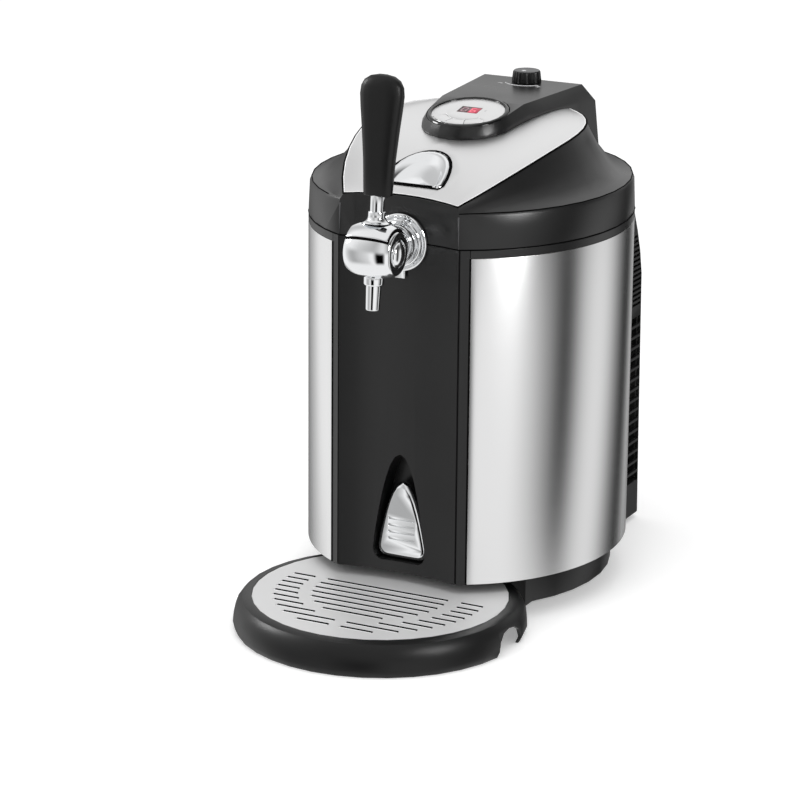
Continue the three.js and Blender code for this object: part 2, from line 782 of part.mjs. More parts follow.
// Thermoelectric cooler: cold plate against the well, module, finned heat sink and fan
const sinkFront = REAR_FRONT;
const moduleRear = sinkFront - SEAM;
const moduleFront = moduleRear - MODULE_THICKNESS;

function makeColdPlate() {
  const plate = block(
    [-COLD_HALF, WELL_RADIUS / 2, coolerZ - COLD_HALF],
    [COLD_HALF, moduleFront - SEAM, coolerZ + COLD_HALF],
  );
  return cut(plate, rod(wellOuter + SEAM, 0, bodyTop, 0, 0, WELL_ROUND));
}

function makeHeatSink() {
  const half = SINK_SIZE / 2;
  const plateRear = sinkFront + SINK_BASE;
  let sink = block([-half, sinkFront, coolerZ - half], [half, plateRear, coolerZ + half]);
  for (const s of steps(FIN_COUNT - 1)) {
    const x = mix(-half + FIN_THICKNESS / 2, half - FIN_THICKNESS / 2, s);
    const fin = block(
      [x - FIN_THICKNESS / 2, plateRear - SINK_BASE / 4, coolerZ - half],
      [x + FIN_THICKNESS / 2, plateRear + FIN_DEPTH, coolerZ + half],
    );
    sink = join(sink, fin);
  }
  return sink;
}

const fanFront = sinkFront + SINK_BASE + FIN_DEPTH + SEAM;
const fanRear = fanFront + FAN_DEPTH;

function makeFanFrame() {
  const half = FAN_SIZE / 2;
  const frame = block([-half, fanFront, coolerZ - half], [half, fanRear, coolerZ + half]);
  let open = cut(frame, rodAlongY(FAN_BORE, fanFront - OVERRUN, fanRear + OVERRUN, 0, coolerZ, ROUND));
  const strutFront = fanRear - FAN_STRUT / 2;
  open = join(open, rodAlongY(FAN_HUB, strutFront, fanRear, 0, coolerZ));
  for (const turnShare of [0, 1 / 3, 2 / 3]) {
    const strut = new THREE.BoxGeometry(FAN_STRUT, fanRear - strutFront, FAN_BORE - FAN_HUB / 2);
    strut.translate(0, 0, (FAN_BORE + FAN_HUB) / 2).rotateY(2 * Math.PI * turnShare);
    open = join(open, solid(strut.translate(0, (strutFront + fanRear) / 2, coolerZ)));
  }
  const boreRadius = FAN_SHAFT + SEAM;
  const bearing = rodAlongY(boreRadius, strutFront - OVERRUN, fanRear + OVERRUN, 0, coolerZ, PIN_ROUND);
  return cut(open, bearing);
}

function makeFanRotor() {
  const rotorFront = fanFront + FAN_STRUT / 2;
  const rotorRear = fanRear - FAN_STRUT / 2 - RUNNING_GAP;
  let rotor = rodAlongY(FAN_HUB, rotorFront, rotorRear, 0, 0);
  rotor = join(rotor, rodAlongY(FAN_SHAFT, rotorRear - FAN_STRUT, fanRear, 0, 0, PIN_ROUND));
  const reach = FAN_BORE - RUNNING_GAP * 2;
  const span = (rotorRear - rotorFront) / Math.cos(rad(BLADE_PITCH_DEG)) - FAN_STRUT;
  for (const share of steps(FAN_BLADES).slice(1)) {
    const chord = span * Math.cos(rad(BLADE_PITCH_DEG));
    const blade = new THREE.BoxGeometry(BLADE_THICKNESS, chord, reach - FAN_HUB / 2);
    blade.rotateZ(rad(BLADE_PITCH_DEG)).translate(0, (rotorFront + rotorRear) / 2, (reach + FAN_HUB / 2) / 2);
    rotor = join(rotor, solid(blade.rotateY(2 * Math.PI * share)));
  }
  const rim = turnAlongY(
    [
      [0, rotorFront],
      [reach, rotorFront],
      [reach, rotorRear],
      [0, rotorRear],
    ],
    0,
    0,
  );
  return rotor.intersect(join(rim, rodAlongY(FAN_SHAFT, fanFront, fanRear, 0, 0, PIN_ROUND)));
}

part("cold_plate", makeColdPlate(), aluminium);
part(
  "peltier_module",
  block(
    [-MODULE_SIZE / 2, moduleFront, coolerZ - MODULE_SIZE / 2],
    [MODULE_SIZE / 2, moduleRear, coolerZ + MODULE_SIZE / 2],
  ),
  ceramic,
);
part("heat_sink", makeHeatSink(), aluminium);
part("fan_frame", makeFanFrame(), blackPlastic);
part("fan_rotor", makeFanRotor(), blackPlastic).position.set(0, 0, coolerZ);

// Rear housing: how far it reaches back at a height, its plan there, and its vents
function rearReach(z) {
  const rise = (Math.min(z, rearShoulder) - REAR_FLOOR) / (rearShoulder - REAR_FLOOR);
  const wall = REAR_REACH - REAR_LEAN * rise;
  if (z <= rearShoulder) return wall;
  const share = Math.min(1, (z - rearShoulder) / (bodyTop - rearShoulder));
  return REAR_TOP_REACH + (wall - REAR_TOP_REACH) * (1 - share ** SHOULDER_POWER) ** (1 / SHOULDER_POWER);
}

function rearRing(z, inset, front) {
  const half = REAR_HALF - inset;
  const reach = rearReach(z) - inset;
  const corner = REAR_CORNER - inset / 2;
  const arc = steps(3).map((s) => {
    const angle = (Math.PI / 2) * s;
    return [half - corner * (1 - Math.cos(angle)), reach - corner * (1 - Math.sin(angle))];
  });
  const right = [[half, front], ...arc];
  const left = [...right].reverse().map(([x, y]) => [-x, y]);
  return [...right, ...left].map(([x, y]) => point(x, y, z));
}

function rearForm(low, high, inset, front) {
  const curved = steps(6).map((s) => mix(rearShoulder, high, Math.sin((Math.PI / 2) * s)));
  const heights = high > rearShoulder ? [low, ...curved] : [low, high];
  return loft(heights.map((z) => rearRing(z, inset, front)));
}

// Heights of equal steps up the side, as shares of the side's height
function ladder(start, pitchShare, count) {
  return Array.from({ length: count }, (_, i) => start + i * pitchShare * sideHeight);
}

const ventHeight = VENT_HEIGHT_SHARE * sideHeight;
const louvreHeight = LOUVRE_HEIGHT_SHARE * sideHeight;
const ventHeights = ladder(bodyBottom + VENT_START_SHARE * sideHeight, VENT_PITCH_SHARE, VENT_COUNT);
const louvreStart = ventHeights[VENT_COUNT - 1] + ventHeight + LOUVRE_GAP_SHARE * sideHeight;
const louvreHeights = ladder(louvreStart, LOUVRE_PITCH_SHARE, LOUVRE_COUNT);

function ear(x, width) {
  const round = steps(5).map((s) => {
    const angle = Math.PI * s - rad(TAP_LEAN_DEG);
    return [HINGE_Y + KNUCKLE_RADIUS * Math.cos(angle), hingeZ + KNUCKLE_RADIUS * Math.sin(angle)];
  });
  const foot = [
    [HINGE_Y - KNUCKLE_RADIUS - LID_SEAM, hingeZ - EAR_DROP],
    [HINGE_Y + KNUCKLE_RADIUS / 2, hingeZ - EAR_DROP],
  ];
  return across([...round, ...foot], x, width);
}

const earOffset = (KNUCKLE_WIDTH + EAR_WIDTH) / 2 + RUNNING_GAP;
const earPair = [KNUCKLE_X - earOffset, KNUCKLE_X + earOffset];
const earPlaces = [-1, 1].flatMap((side) => earPair.map((x) => side * x));

const inletBack = rearReach(INLET_Z - INLET_HEIGHT / 2 - INLET_FLANGE);

function mainsOpening(x, width, height) {
  return block(
    [x - width / 2 - SEAM, inletBack - OVERRUN, INLET_Z - height / 2 - SEAM],
    [x + width / 2 + SEAM, inletBack + OVERRUN, INLET_Z + height / 2 + SEAM],
  );
}

function makeRearHousing() {
  let shell = rearForm(REAR_FLOOR, bodyTop, 0, REAR_FRONT);
  const room = rearForm(bodyBottom + WALL, bodyTop - WALL, WALL, REAR_FRONT - OVERRUN);
  const skirt = rearForm(0, bodyBottom, WALL, REAR_FRONT - OVERRUN);
  const plinth = raise(baseOutline(SEAM), 0, bodyBottom);
  shell = cut(shell, room, skirt, plinth);
  for (const x of earPlaces) shell = join(shell, cut(ear(x, EAR_WIDTH), room));
  for (const z of ventHeights) {
    const rear = rearReach(z) - VENT_MARGIN;
    shell = cut(shell, block([-BODY_WIDTH, VENT_FRONT, z], [BODY_WIDTH, rear, z + ventHeight]));
  }
  for (const z of louvreHeights) {
    const rear = rearReach(z + louvreHeight) - VENT_MARGIN;
    shell = cut(shell, block([-BODY_WIDTH, VENT_FRONT, z], [BODY_WIDTH, rear, z + louvreHeight]));
  }
  for (const z of ventHeights.slice(GRILLE_FIRST, GRILLE_FIRST + GRILLE_COUNT)) {
    const low = [-GRILLE_HALF, fanRear + RUNNING_GAP, z];
    shell = cut(shell, block(low, [GRILLE_HALF, REAR_REACH + OVERRUN, z + ventHeight]));
  }
  const pin = rodAlongX(HINGE_PIN_RADIUS + SEAM, 0, BODY_WIDTH, HINGE_Y, hingeZ, PIN_ROUND);
  return cut(
    shell,
    pin,
    mainsOpening(INLET_X, INLET_WIDTH, INLET_HEIGHT),
    mainsOpening(SWITCH_X, SWITCH_WIDTH, SWITCH_HEIGHT),
  );
}

part("rear_housing", makeRearHousing(), blackPlastic);

const pinReach = 2 * (KNUCKLE_X + earOffset + EAR_WIDTH / 2);
part(
  "hinge_pin",
  rodAlongX(HINGE_PIN_RADIUS, 0, pinReach, HINGE_Y, hingeZ, PIN_ROUND),
  cartridgeSteel,
);

// Mains inlet, switch and power board
function makeMainsInlet() {
  const [w, h] = [INLET_WIDTH / 2, INLET_HEIGHT / 2];
  const flangeRear = inletBack + SEAM + FLANGE_THICKNESS;
  const box = block(
    [INLET_X - w, inletBack - INLET_DEPTH, INLET_Z - h],
    [INLET_X + w, flangeRear, INLET_Z + h],
  );
  const flange = block(
    [INLET_X - w - INLET_FLANGE, inletBack + SEAM, INLET_Z - h - INLET_FLANGE / 2],
    [INLET_X + w + INLET_FLANGE, flangeRear, INLET_Z + h + INLET_FLANGE / 2],
  );
  const floor = flangeRear - INLET_SOCKET_DEPTH;
  const chamfer = h / 2;
  const socket = carry(
    [
      [INLET_X - w + WALL, INLET_Z - h + WALL],
      [INLET_X + w - WALL, INLET_Z - h + WALL],
      [INLET_X + w - WALL, INLET_Z + h - WALL - chamfer],
      [INLET_X + w - WALL - chamfer, INLET_Z + h - WALL],
      [INLET_X - w + WALL + chamfer, INLET_Z + h - WALL],
      [INLET_X - w + WALL, INLET_Z + h - WALL - chamfer],
    ],
    floor,
    flangeRear + OVERRUN,
  );
  let inlet = cut(join(box, flange), socket);
  for (const share of [-1, 0, 1]) {
    const z = INLET_Z + (share === 0 ? h / 4 : -h / 4);
    const pinRear = flangeRear - INLET_SOCKET_DEPTH / 4;
    const x = INLET_X + share * (w / 2);
    inlet = join(inlet, rodAlongY(PIN_RADIUS, floor - WALL, pinRear, x, z, PIN_ROUND));
  }
  return inlet;
}

const rockerPivotY = inletBack - ROCKER_DEPTH / 2;

function makeSwitchBody() {
  const [w, h] = [SWITCH_WIDTH / 2, SWITCH_HEIGHT / 2];
  const front = inletBack - SWITCH_DEPTH;
  const box = block([SWITCH_X - w, front, INLET_Z - h], [SWITCH_X + w, inletBack + SEAM, INLET_Z + h]);
  const room = block(
    [SWITCH_X - w + WALL / 2, rockerPivotY - ROCKER_DEPTH, INLET_Z - h + WALL / 2],
    [SWITCH_X + w - WALL / 2, inletBack + OVERRUN, INLET_Z + h - WALL / 2],
  );
  return cut(box, room);
}

function makeRocker() {
  const [w, h] = [SWITCH_WIDTH / 2 - WALL / 2 - RUNNING_GAP, SWITCH_HEIGHT / 2 - WALL];
  const proud = ROCKER_DEPTH / 2 + FLANGE_THICKNESS / 2;
  const outline = [
    [-h, 0],
    [-h, proud],
    [0, proud - FLANGE_THICKNESS],
    [h, proud],
    [h, 0],
    [0, -ROCKER_DEPTH / 2],
  ].map(([z, y]) => [y, z]);
  return across(outline, 0, 2 * w);
}

function makePowerBoard() {
  const low = bodyBottom + WALL + SEAM;
  const top = low + BOARD_STANDOFF;
  const [w, d] = [BOARD_WIDTH / 2, BOARD_DEPTH / 2];
  const middle = mix(REAR_FRONT, inletBack - INLET_DEPTH, 0.5);
  let board = block([-w, middle - d / 2, top], [w, middle + d / 2, top + BOARD_THICKNESS]);
  for (const [sx, sy] of [[-1, -1], [1, -1], [-1, 1], [1, 1]]) {
    const [x, y] = [sx * (w - WALL * 2), middle + sy * (d / 2 - WALL * 2)];
    board = join(board, rod(PIN_RADIUS, low, top + PIN_RADIUS / 2, x, y, PIN_ROUND));
  }
  const tall = top + BOARD_THICKNESS / 2;
  const [front, rear] = [middle - d * 0.35, middle + d * 0.35];
  const transformer = block([-w * 0.7, front, tall], [-w * 0.2, rear, tall + COMPONENT_HEIGHT]);
  const capacitor = rod(COMPONENT_HEIGHT / 2, tall, tall + COMPONENT_HEIGHT, w * 0.1, middle, PIN_ROUND);
  const sink = block([w * 0.5, front, tall], [w * 0.58, rear, tall + COMPONENT_HEIGHT]);
  return join(board, transformer, capacitor, sink);
}

part("mains_inlet", makeMainsInlet(), blackPlastic);
part("switch_body", makeSwitchBody(), blackPlastic);
part("mains_switch", makeRocker(), glossBlack).position.set(SWITCH_X, rockerPivotY, INLET_Z);
part("power_board", makePowerBoard(), boardGreen);

// Chrome tray catch in the niche
function makeTrayCatch() {
  const face = -frontFace + CATCH_SINK;
  const rear = face + CATCH_THICKNESS;
  const inner = -RUNNING_GAP;
  const rings = [
    [teardrop(inner - CATCH_CROWN * 2, CATCH_APEX), face],
    [teardrop(inner - CATCH_CROWN, CATCH_APEX), face + CATCH_CROWN / 3],
    [teardrop(inner - CATCH_CROWN / 3, CATCH_APEX), face + CATCH_CROWN],
    [teardrop(inner, CATCH_APEX), face + 2 * CATCH_CROWN],
    [teardrop(inner, CATCH_APEX), rear],
  ];
  let body = loft(rings.map(([outline, y]) => outline.map(([x, z]) => point(x, y, z))));
  for (const s of steps(CATCH_GROOVES - 1)) {
    const z = CATCH_GROOVE_START + CATCH_GROOVE_PITCH * (CATCH_GROOVES - 1) * s;
    const reach = NICHE_HALF / 2;
    const grooveTop = z + CATCH_GROOVE_PITCH / 3;
    body = cut(body, block([-reach, face - CATCH_GROOVE, z], [reach, face + CATCH_GROOVE, grooveTop]));
  }
  const stemRear = -frontFace + NICHE_DEPTH - CATCH_TRAVEL - RUNNING_GAP;
  const stemZ = NICHE_WIDEST + NICHE_HALF / 2;
  return join(body, rodAlongY(CATCH_STEM, rear - CATCH_GROOVE, stemRear, 0, stemZ, SMALL_ROUND));
}

part("tray_catch", makeTrayCatch(), chrome);

// Drip tray, in a group whose origin is the middle of its round outline
const trayCentre = -(FRONT_REACH - TRAY_RADIUS);
const trayFlat = -BASE_FRONT - TRAY_FLAT - trayCentre;
const tray = new THREE.Group();
tray.position.set(0, trayCentre, 0);
root.add(tray);

const gridTop = TRAY_RIM_HEIGHT - GRID_SINK + SEAM;
const ledgeTop = gridTop - GRID_THICKNESS - SEAM;
const rimInner = GRID_RADIUS + SEAM;
const rimOuter = rimInner + TRAY_RIM_WIDTH;
const basinRadius = GRID_RADIUS - LEDGE_WIDTH;

// The flared outer wall, from the foot to the rim, set in by a wall thickness
function trayFlare(inset) {
  const foot = TRAY_RADIUS - inset;
  const brim = rimOuter - inset;
  const drop = inset * 0.8;
  const sweep = steps(4).map((s) => {
    const angle = (Math.PI / 2) * s;
    const low = TRAY_RIM_HEIGHT / 5;
    return [mix(brim, foot, Math.cos(angle) ** 0.8), mix(low, TRAY_RIM_HEIGHT - drop, Math.sin(angle))];
  });
  return [[foot - TRAY_RADIUS / 50, 0], ...sweep];
}

function makeDripTray() {
  const floorLow = BASIN_FLOOR - TRAY_WALL;
  const rim = [[rimInner, TRAY_RIM_HEIGHT], [0, TRAY_RIM_HEIGHT]];
  const outer = turn([[0, 0], ...trayFlare(0), ...rim], FINE_ROUND);
  const seat = rod(rimInner, ledgeTop, TRAY_RIM_HEIGHT + OVERRUN, 0, 0, FINE_ROUND);
  const basin = rod(basinRadius, BASIN_FLOOR, TRAY_RIM_HEIGHT + OVERRUN, 0, 0, ROUND);
  const under = turn(
    [
      [0, -OVERRUN],
      [TRAY_RADIUS - TRAY_RADIUS / 50 - TRAY_WALL, -OVERRUN],
      ...trayFlare(TRAY_WALL).slice(0, -2),
      [basinRadius + TRAY_WALL, ledgeTop - TRAY_WALL],
      [basinRadius + TRAY_WALL, floorLow],
      [0, floorLow],
    ],
    FINE_ROUND,
  );
  const inside = (back) =>
    block(
      [-2 * TRAY_RADIUS, -2 * TRAY_RADIUS, -OVERRUN * 2],
      [2 * TRAY_RADIUS, trayFlat - back, TRAY_RIM_HEIGHT * 2],
    );
  let body = outer.intersect(inside(0));
  body = cut(body, seat.intersect(inside(TRAY_RIM_WIDTH)));
  body = cut(body, basin.intersect(inside(TRAY_RIM_WIDTH + LEDGE_WIDTH)), under.intersect(inside(TRAY_WALL)));
  const arch = steps(6).map((s) => {
    const angle = Math.PI * s;
    const half = NOTCH_WIDTH / 2;
    return [NOTCH_Y + half * Math.cos(angle), NOTCH_HEIGHT * 0.35 + NOTCH_HEIGHT * 0.65 * Math.sin(angle)];
  });
  const low = [
    [NOTCH_Y - NOTCH_WIDTH / 2, -OVERRUN],
    [NOTCH_Y + NOTCH_WIDTH / 2, -OVERRUN],
  ];
  const reach = TRAY_RADIUS - basinRadius - TRAY_WALL - RUNNING_GAP;
  for (const side of [-1, 1]) {
    const middle = side * (TRAY_RADIUS + OVERRUN - reach / 2 - OVERRUN / 2);
    body = cut(body, across([...arch, ...low], middle, reach + OVERRUN));
  }
  for (const side of [-1, 1]) {
    const half = TONGUE_WIDTH / 2;
    const tongue = block(
      [side * TONGUE_X - half, trayFlat - TRAY_WALL / 2, TONGUE_Z],
      [side * TONGUE_X + half, trayFlat + TONGUE_REACH, TONGUE_Z + TONGUE_HEIGHT],
    );
    body = join(body, tongue);
  }
  return body;
}

// Slots of the grid: a short inner set and a ring of outer ones on the same parallel rows
function gridSlots() {
  const spans = [];
  for (let row = 0; row < SLOT_ROWS; row++) {
    const y = SLOT_FIRST - row * SLOT_PITCH;
    const chord = (radius) => Math.sqrt(Math.max(0, radius * radius - y * y));
    const inner = chord(INNER_SLOT_RADIUS);
    if (inner > SLOT_PITCH) spans.push([-inner, inner, y]);
    const start = Math.max(chord(OUTER_SLOT_START), SLOT_BRIDGE);
    const end = chord(OUTER_SLOT_END);
    spans.push([start, end, y], [-end, -start, y]);
  }
  return spans;
}

function makeDripGrid() {
  const low = gridTop - GRID_THICKNESS;
  const disc = rod(GRID_RADIUS, low, gridTop, 0, 0, FINE_ROUND);
  const keep = block(
    [-2 * GRID_RADIUS, -2 * GRID_RADIUS, 0],
    [2 * GRID_RADIUS, trayFlat - TRAY_RIM_WIDTH - SEAM, 2 * gridTop],
  );
  let grid = disc.intersect(keep);
  const half = SLOT_WIDTH / 2;
  for (const [from, to, y] of gridSlots()) {
    const outline = [
      [from, y],
      [from + half, y - half],
      [to - half, y - half],
      [to, y],
      [to - half, y + half],
      [from + half, y + half],
    ];
    grid = cut(grid, raise(outline, low - OVERRUN, gridTop + OVERRUN));
  }
  return grid;
}

part("drip_tray", makeDripTray(), blackPlastic, tray);
part("drip_grid", makeDripGrid(), brushedSteel, tray);

// Lid. A row is one slice across it, from the front corners back along the sides to the rear's middle.
const plateStart = Math.asin(PLATE_FRONT_HALF / PLATE_HALF);
const lidRows = [{ front: true }];
for (const s of steps(17).slice(1)) {
  lidRows.push({ front: false, t: mix(frontAngle, Math.PI, s), v: mix(plateStart, Math.PI, s) });
}

function plateHalfAt(y) {
  const reach = y < 0 ? PLATE_FRONT_REACH : PLATE_REAR_REACH;
  const power = y < 0 ? FRONT_CURVE_POWER : REAR_CURVE_POWER;
  return PLATE_HALF * Math.sqrt(Math.max(0, 1 - (Math.abs(y) / reach) ** power));
}

function plateEdgeHeight(y) {
  const back = Math.max(0, PLATE_CREST - y) / PLATE_FALL_LENGTH;
  return plateRear - PLATE_FALL * back ** FALL_POWER;
}

// Height of the silver surface anywhere on the lid
function plateHeight(x, y) {
  const half = Math.max(plateHalfAt(y), PLATE_FRONT_HALF / 2);
  const crown = PLATE_CROWN * THREE.MathUtils.smoothstep(y, -PLATE_FRONT, CROWN_RUN - PLATE_FRONT);
  return plateEdgeHeight(y) + crown * (1 - Math.min(1, (x / half) ** 2));
}

// Where the plate's edge lies on a row: half width and place along the lid
function plateEdge(row, inset) {
  if (row.front) return [PLATE_FRONT_HALF - inset, inset - PLATE_FRONT];
  const c = Math.cos(row.v);
  const power = c > 0 ? FRONT_CURVE_POWER : REAR_CURVE_POWER;
  const reach = c > 0 ? PLATE_FRONT_REACH - inset : PLATE_REAR_REACH - inset;
  const y = -Math.sign(c) * reach * Math.abs(c) ** (2 / power);
  return [(PLATE_HALF - inset) * Math.sin(row.v), Math.max(y, -PLATE_FRONT + inset)];
}

function lidEdge(row, inset) {
  return row.front ? [FRONT_HALF - inset / 2, inset - frontCornerY] : onBody(row.t, inset);
}

const columnShares = [1, 0.75, 0.5, 0.25, 0];
const shoulderShares = [0, 0.2, 0.45, 0.7, 0.88, 1];
const innerColumnShares = [1, 0.5, 0];
const innerShoulderShares = [0, 0.45, 0.8, 1];

// What the hollow front takes off the lid, set back by a wall or a gap
function frontScoop(setback) {
  const front = -bodyHalfDepth - OVERRUN;
  const corners = [[-FRONT_HALF, front], [FRONT_HALF, front]];
  return raise([...corners, ...frontCurve(setback).reverse()], 0, TOTAL_HEIGHT);
}

// The lid's outer form, or with an inset and a drop the hollow inside it
function lidForm(inset, drop, low, columns = columnShares, shoulders = shoulderShares) {
  const rings = lidRows.map((row) => {
    const side = (mirror) => {
      const [px, py] = plateEdge(row, row.front ? inset : 0);
      const crest = plateHeight(...plateEdge(row, 0)) - drop;
      const fit = (extra) => lidEdge(row, inset + (row.front ? extra / 8 : extra));
      const foot = fit(0);
      const band = fit(BAND_DRAFT);
      const brow = fit(BAND_ROUND);
      const lip = bandTop - drop / 2;
      const points = [
        point(mirror * foot[0], foot[1], low),
        point(mirror * band[0], band[1], lip - BAND_ROUND),
      ];
      for (const u of shoulders) {
        const z = mix(lip, crest, row.front ? u : u ** SHOULDER_CURVE);
        points.push(point(mirror * mix(brow[0], px, u), mix(brow[1], py, u), z));
      }
      return points;
    };
    const inward = columns.slice(1).map((f) => {
      const [px, py] = plateEdge(row, row.front ? inset : 0);
      return [px * f, py];
    });
    const top = (mirror) => inward.map(([x, y]) => point(mirror * x, y, plateHeight(x, y) - drop));
    return [...side(1), ...top(1), ...top(-1).reverse().slice(1), ...side(-1).reverse()];
  });
  return cut(loft(rings, true, false), frontScoop(inset));
}

// A slab that follows the silver surface, between two offsets from it
function plateSlab(inset, above, below) {
  const rings = lidRows.map((row) => {
    const [px, py] = plateEdge(row, inset);
    const line = (offset, shares) => shares.map((f) => point(px * f, py, plateHeight(px * f, py) + offset));
    const fromRight = [...columnShares, ...columnShares.slice(0, -1).reverse().map((f) => -f)];
    return [...line(above, fromRight), ...line(below, [...fromRight].reverse())];
  });
  return cut(loft(rings, true, false), frontScoop(frontCornerY - PLATE_FRONT + inset));
}

// The D of the release button, seen from above
function releaseOutline(grow) {
  const [half, length] = [RELEASE_HALF + grow, RELEASE_LENGTH + grow];
  const front = -RELEASE_FRONT - grow;
  const round = RELEASE_RIM;
  const arch = steps(16).map((s) => {
    const angle = Math.PI * s;
    return [half * Math.cos(angle), -RELEASE_FRONT + round / 2 + (length - round / 2) * Math.sin(angle)];
  });
  return [...arch, [-half + round / 2, front], [half - round / 2, front]];
}

const serviceHole = block(
  [-SERVICE_HALF, SERVICE_FRONT, lidBottom],
  [SERVICE_HALF, SERVICE_REAR, housingTop],
);
const platePocket = PLATE_THICKNESS + SEAM;
const shellUnder = platePocket + LID_WALL;

function hingeArm(side) {
  const round = steps(6).map((s) => {
    const angle = -Math.PI * s + Math.PI / 4;
    return [HINGE_Y + KNUCKLE_RADIUS * Math.cos(angle), hingeZ + KNUCKLE_RADIUS * Math.sin(angle)];
  });
  const wallY = onBody(Math.PI - angleAt(KNUCKLE_X))[1] - LID_WALL / 2;
  const rimY = onBody(Math.PI - angleAt(KNUCKLE_X - KNUCKLE_WIDTH / 2))[1] + RUNNING_GAP;
  const arm = [
    [rimY, lidBottom],
    [wallY, lidBottom],
    [wallY, lidBottom + ARM_HEIGHT],
  ];
  return across([...round, ...arm], side * KNUCKLE_X, KNUCKLE_WIDTH);
}

function makeLidShell() {
  const low = lidBottom - OVERRUN;
  const hollow = lidForm(LID_WALL, shellUnder, low, innerColumnShares, innerShoulderShares);
  let shell = cut(lidForm(0, 0, lidBottom), hollow, plateSlab(0, OVERRUN, -platePocket));
  shell = join(shell, cut(hingeArm(-1), hollow), cut(hingeArm(1), hollow));
  const pin = rodAlongX(HINGE_PIN_RADIUS + SEAM, 0, BODY_WIDTH, HINGE_Y, hingeZ, PIN_ROUND);
  const shank = rodAlongY(SHANK_RADIUS + SEAM, -frontFace - OVERRUN, -frontCornerY + OVERRUN, 0, shankZ);
  const release = raise(releaseOutline(RELEASE_GAP), lidBottom + BAND_HEIGHT / 2, housingTop);
  return cut(shell, pin, shank, serviceHole, release);
}

function makeLidPlate() {
  const plate = plateSlab(PLATE_GAP, 0, -PLATE_THICKNESS);
  return cut(plate, serviceHole, raise(releaseOutline(RELEASE_GAP), lidBottom, housingTop));
}

const lid = new THREE.Group();
root.add(lid);
part("lid_shell", makeLidShell(), blackPlastic, lid);
part("lid_plate", makeLidPlate(), silverPaint, lid);

// Lid liner, gasket and latch hook
const linerLow = lidBottom + LINER_DROP;
const linerTop = linerLow + LINER_THICKNESS;

function hookSlot(grow) {
  const half = HOOK_WIDTH / 2 + grow;
  return block(
    [-half, hookFront - grow, linerLow - OVERRUN],
    [half, -HOOK_Y + grow, linerTop + OVERRUN],
  );
}

function makeLiner() {
  const inset = LID_WALL + SEAM + BAND_DRAFT;
  const outline = lidRows.map((row) => lidEdge(row, inset));
  const mirrored = [...outline].reverse().slice(1).map(([x, y]) => [-x, y]);
  const sheet = raise([...outline, ...mirrored], linerLow, linerTop);
  const coupler = rod(COUPLER_RADIUS + SEAM, linerLow - OVERRUN, linerTop + OVERRUN);
  return cut(sheet, frontScoop(inset), coupler, shankPocket(), hookSlot(SEAM));
}

function makeGasket() {
  const top = linerLow - SEAM;
  const low = top - GASKET_THICKNESS;
  const inner = WELL_RADIUS + WELL_WALL;
  return turn([
    [inner, low + GASKET_THICKNESS / 3],
    [inner + GASKET_WIDTH / 2, low],
    [inner + GASKET_WIDTH, low + GASKET_THICKNESS / 3],
    [inner + GASKET_WIDTH, top],
    [inner, top],
    [inner, low + GASKET_THICKNESS / 3],
  ]);
}

function makeLatchHook() {
  const half = HOOK_WIDTH / 2;
  const low = rimBottom + RIM_HEIGHT - HOOK_DROP;
  const strip = block([-half, hookFront, low], [half, -HOOK_Y, linerTop + HOOK_RISE]);
  const foot = block(
    [-half - HOOK_THICKNESS, hookFront, linerTop + SEAM],
    [half + HOOK_THICKNESS, -HOOK_Y + HOOK_THICKNESS, linerTop + SEAM + HOOK_THICKNESS],
  );
  return join(strip, foot);
}

part("lid_liner", makeLiner(), ceramic, lid);
part("lid_gasket", makeGasket(), rubber, lid);
part("latch_hook", makeLatchHook(), blackPlastic, lid);

// Release button: a chrome D with a rolled rim round its arch and a dish that is open to the front
function makeReleaseButton() {
  const front = -RELEASE_FRONT;
  const ring = (shrink, lift) =>
    releaseOutline(0).map(([x, y]) => {
      const keep = 1 - shrink / RELEASE_HALF;
      const place = [x * keep, front + (y - front) * keep];
      return point(...place, plateHeight(...place) + lift);
    });
  const low = plateHeight(0, front) - RELEASE_SKIRT;
  const skirt = releaseOutline(0).map(([x, y]) => point(x, y, low));
  const rim = RELEASE_RIM;
  return loft([
    skirt,
    ring(0, -RELEASE_PROUD),
    ring(rim * 0.15, RELEASE_PROUD * 0.6),
    ring(rim * 0.45, RELEASE_PROUD),
    ring(rim * 0.8, RELEASE_PROUD * 0.5),
    ring(rim * 1.1, -RELEASE_DISH * 0.6),
    ring(rim * 1.5, -RELEASE_DISH),
  ]);
}

function makeReleaseSpring() {
  const low = linerTop + SEAM;
  const high = plateHeight(0, -RELEASE_FRONT) - RELEASE_SKIRT - SEAM;
  const path = new THREE.CatmullRomCurve3(
    steps(SPRING_TURNS * 6).map((s) => {
      const angle = 2 * Math.PI * SPRING_TURNS * s;
      const z = mix(low + SPRING_WIRE, high - SPRING_WIRE, s);
      return point(SPRING_RADIUS * Math.cos(angle), SPRING_RADIUS * Math.sin(angle) - SPRING_Y, z);
    }),
  );
  const section = new THREE.Shape(circlePoints(SPRING_WIRE, 4));
  return solid(new THREE.ExtrudeGeometry(section, { steps: SPRING_TURNS * 7, extrudePath: path }));
}

part("release_button", makeReleaseButton(), chrome, lid);
part("release_spring", makeReleaseSpring(), cartridgeSteel, lid);

// Control housing: foot, crease and top run round a nose and back along both sides
const discSlope = Math.tan(rad(DISC_TILT_DEG));
const housingTopAt = (y) => Math.min(discZ + (y - DISC_Y) * discSlope, housingTop);

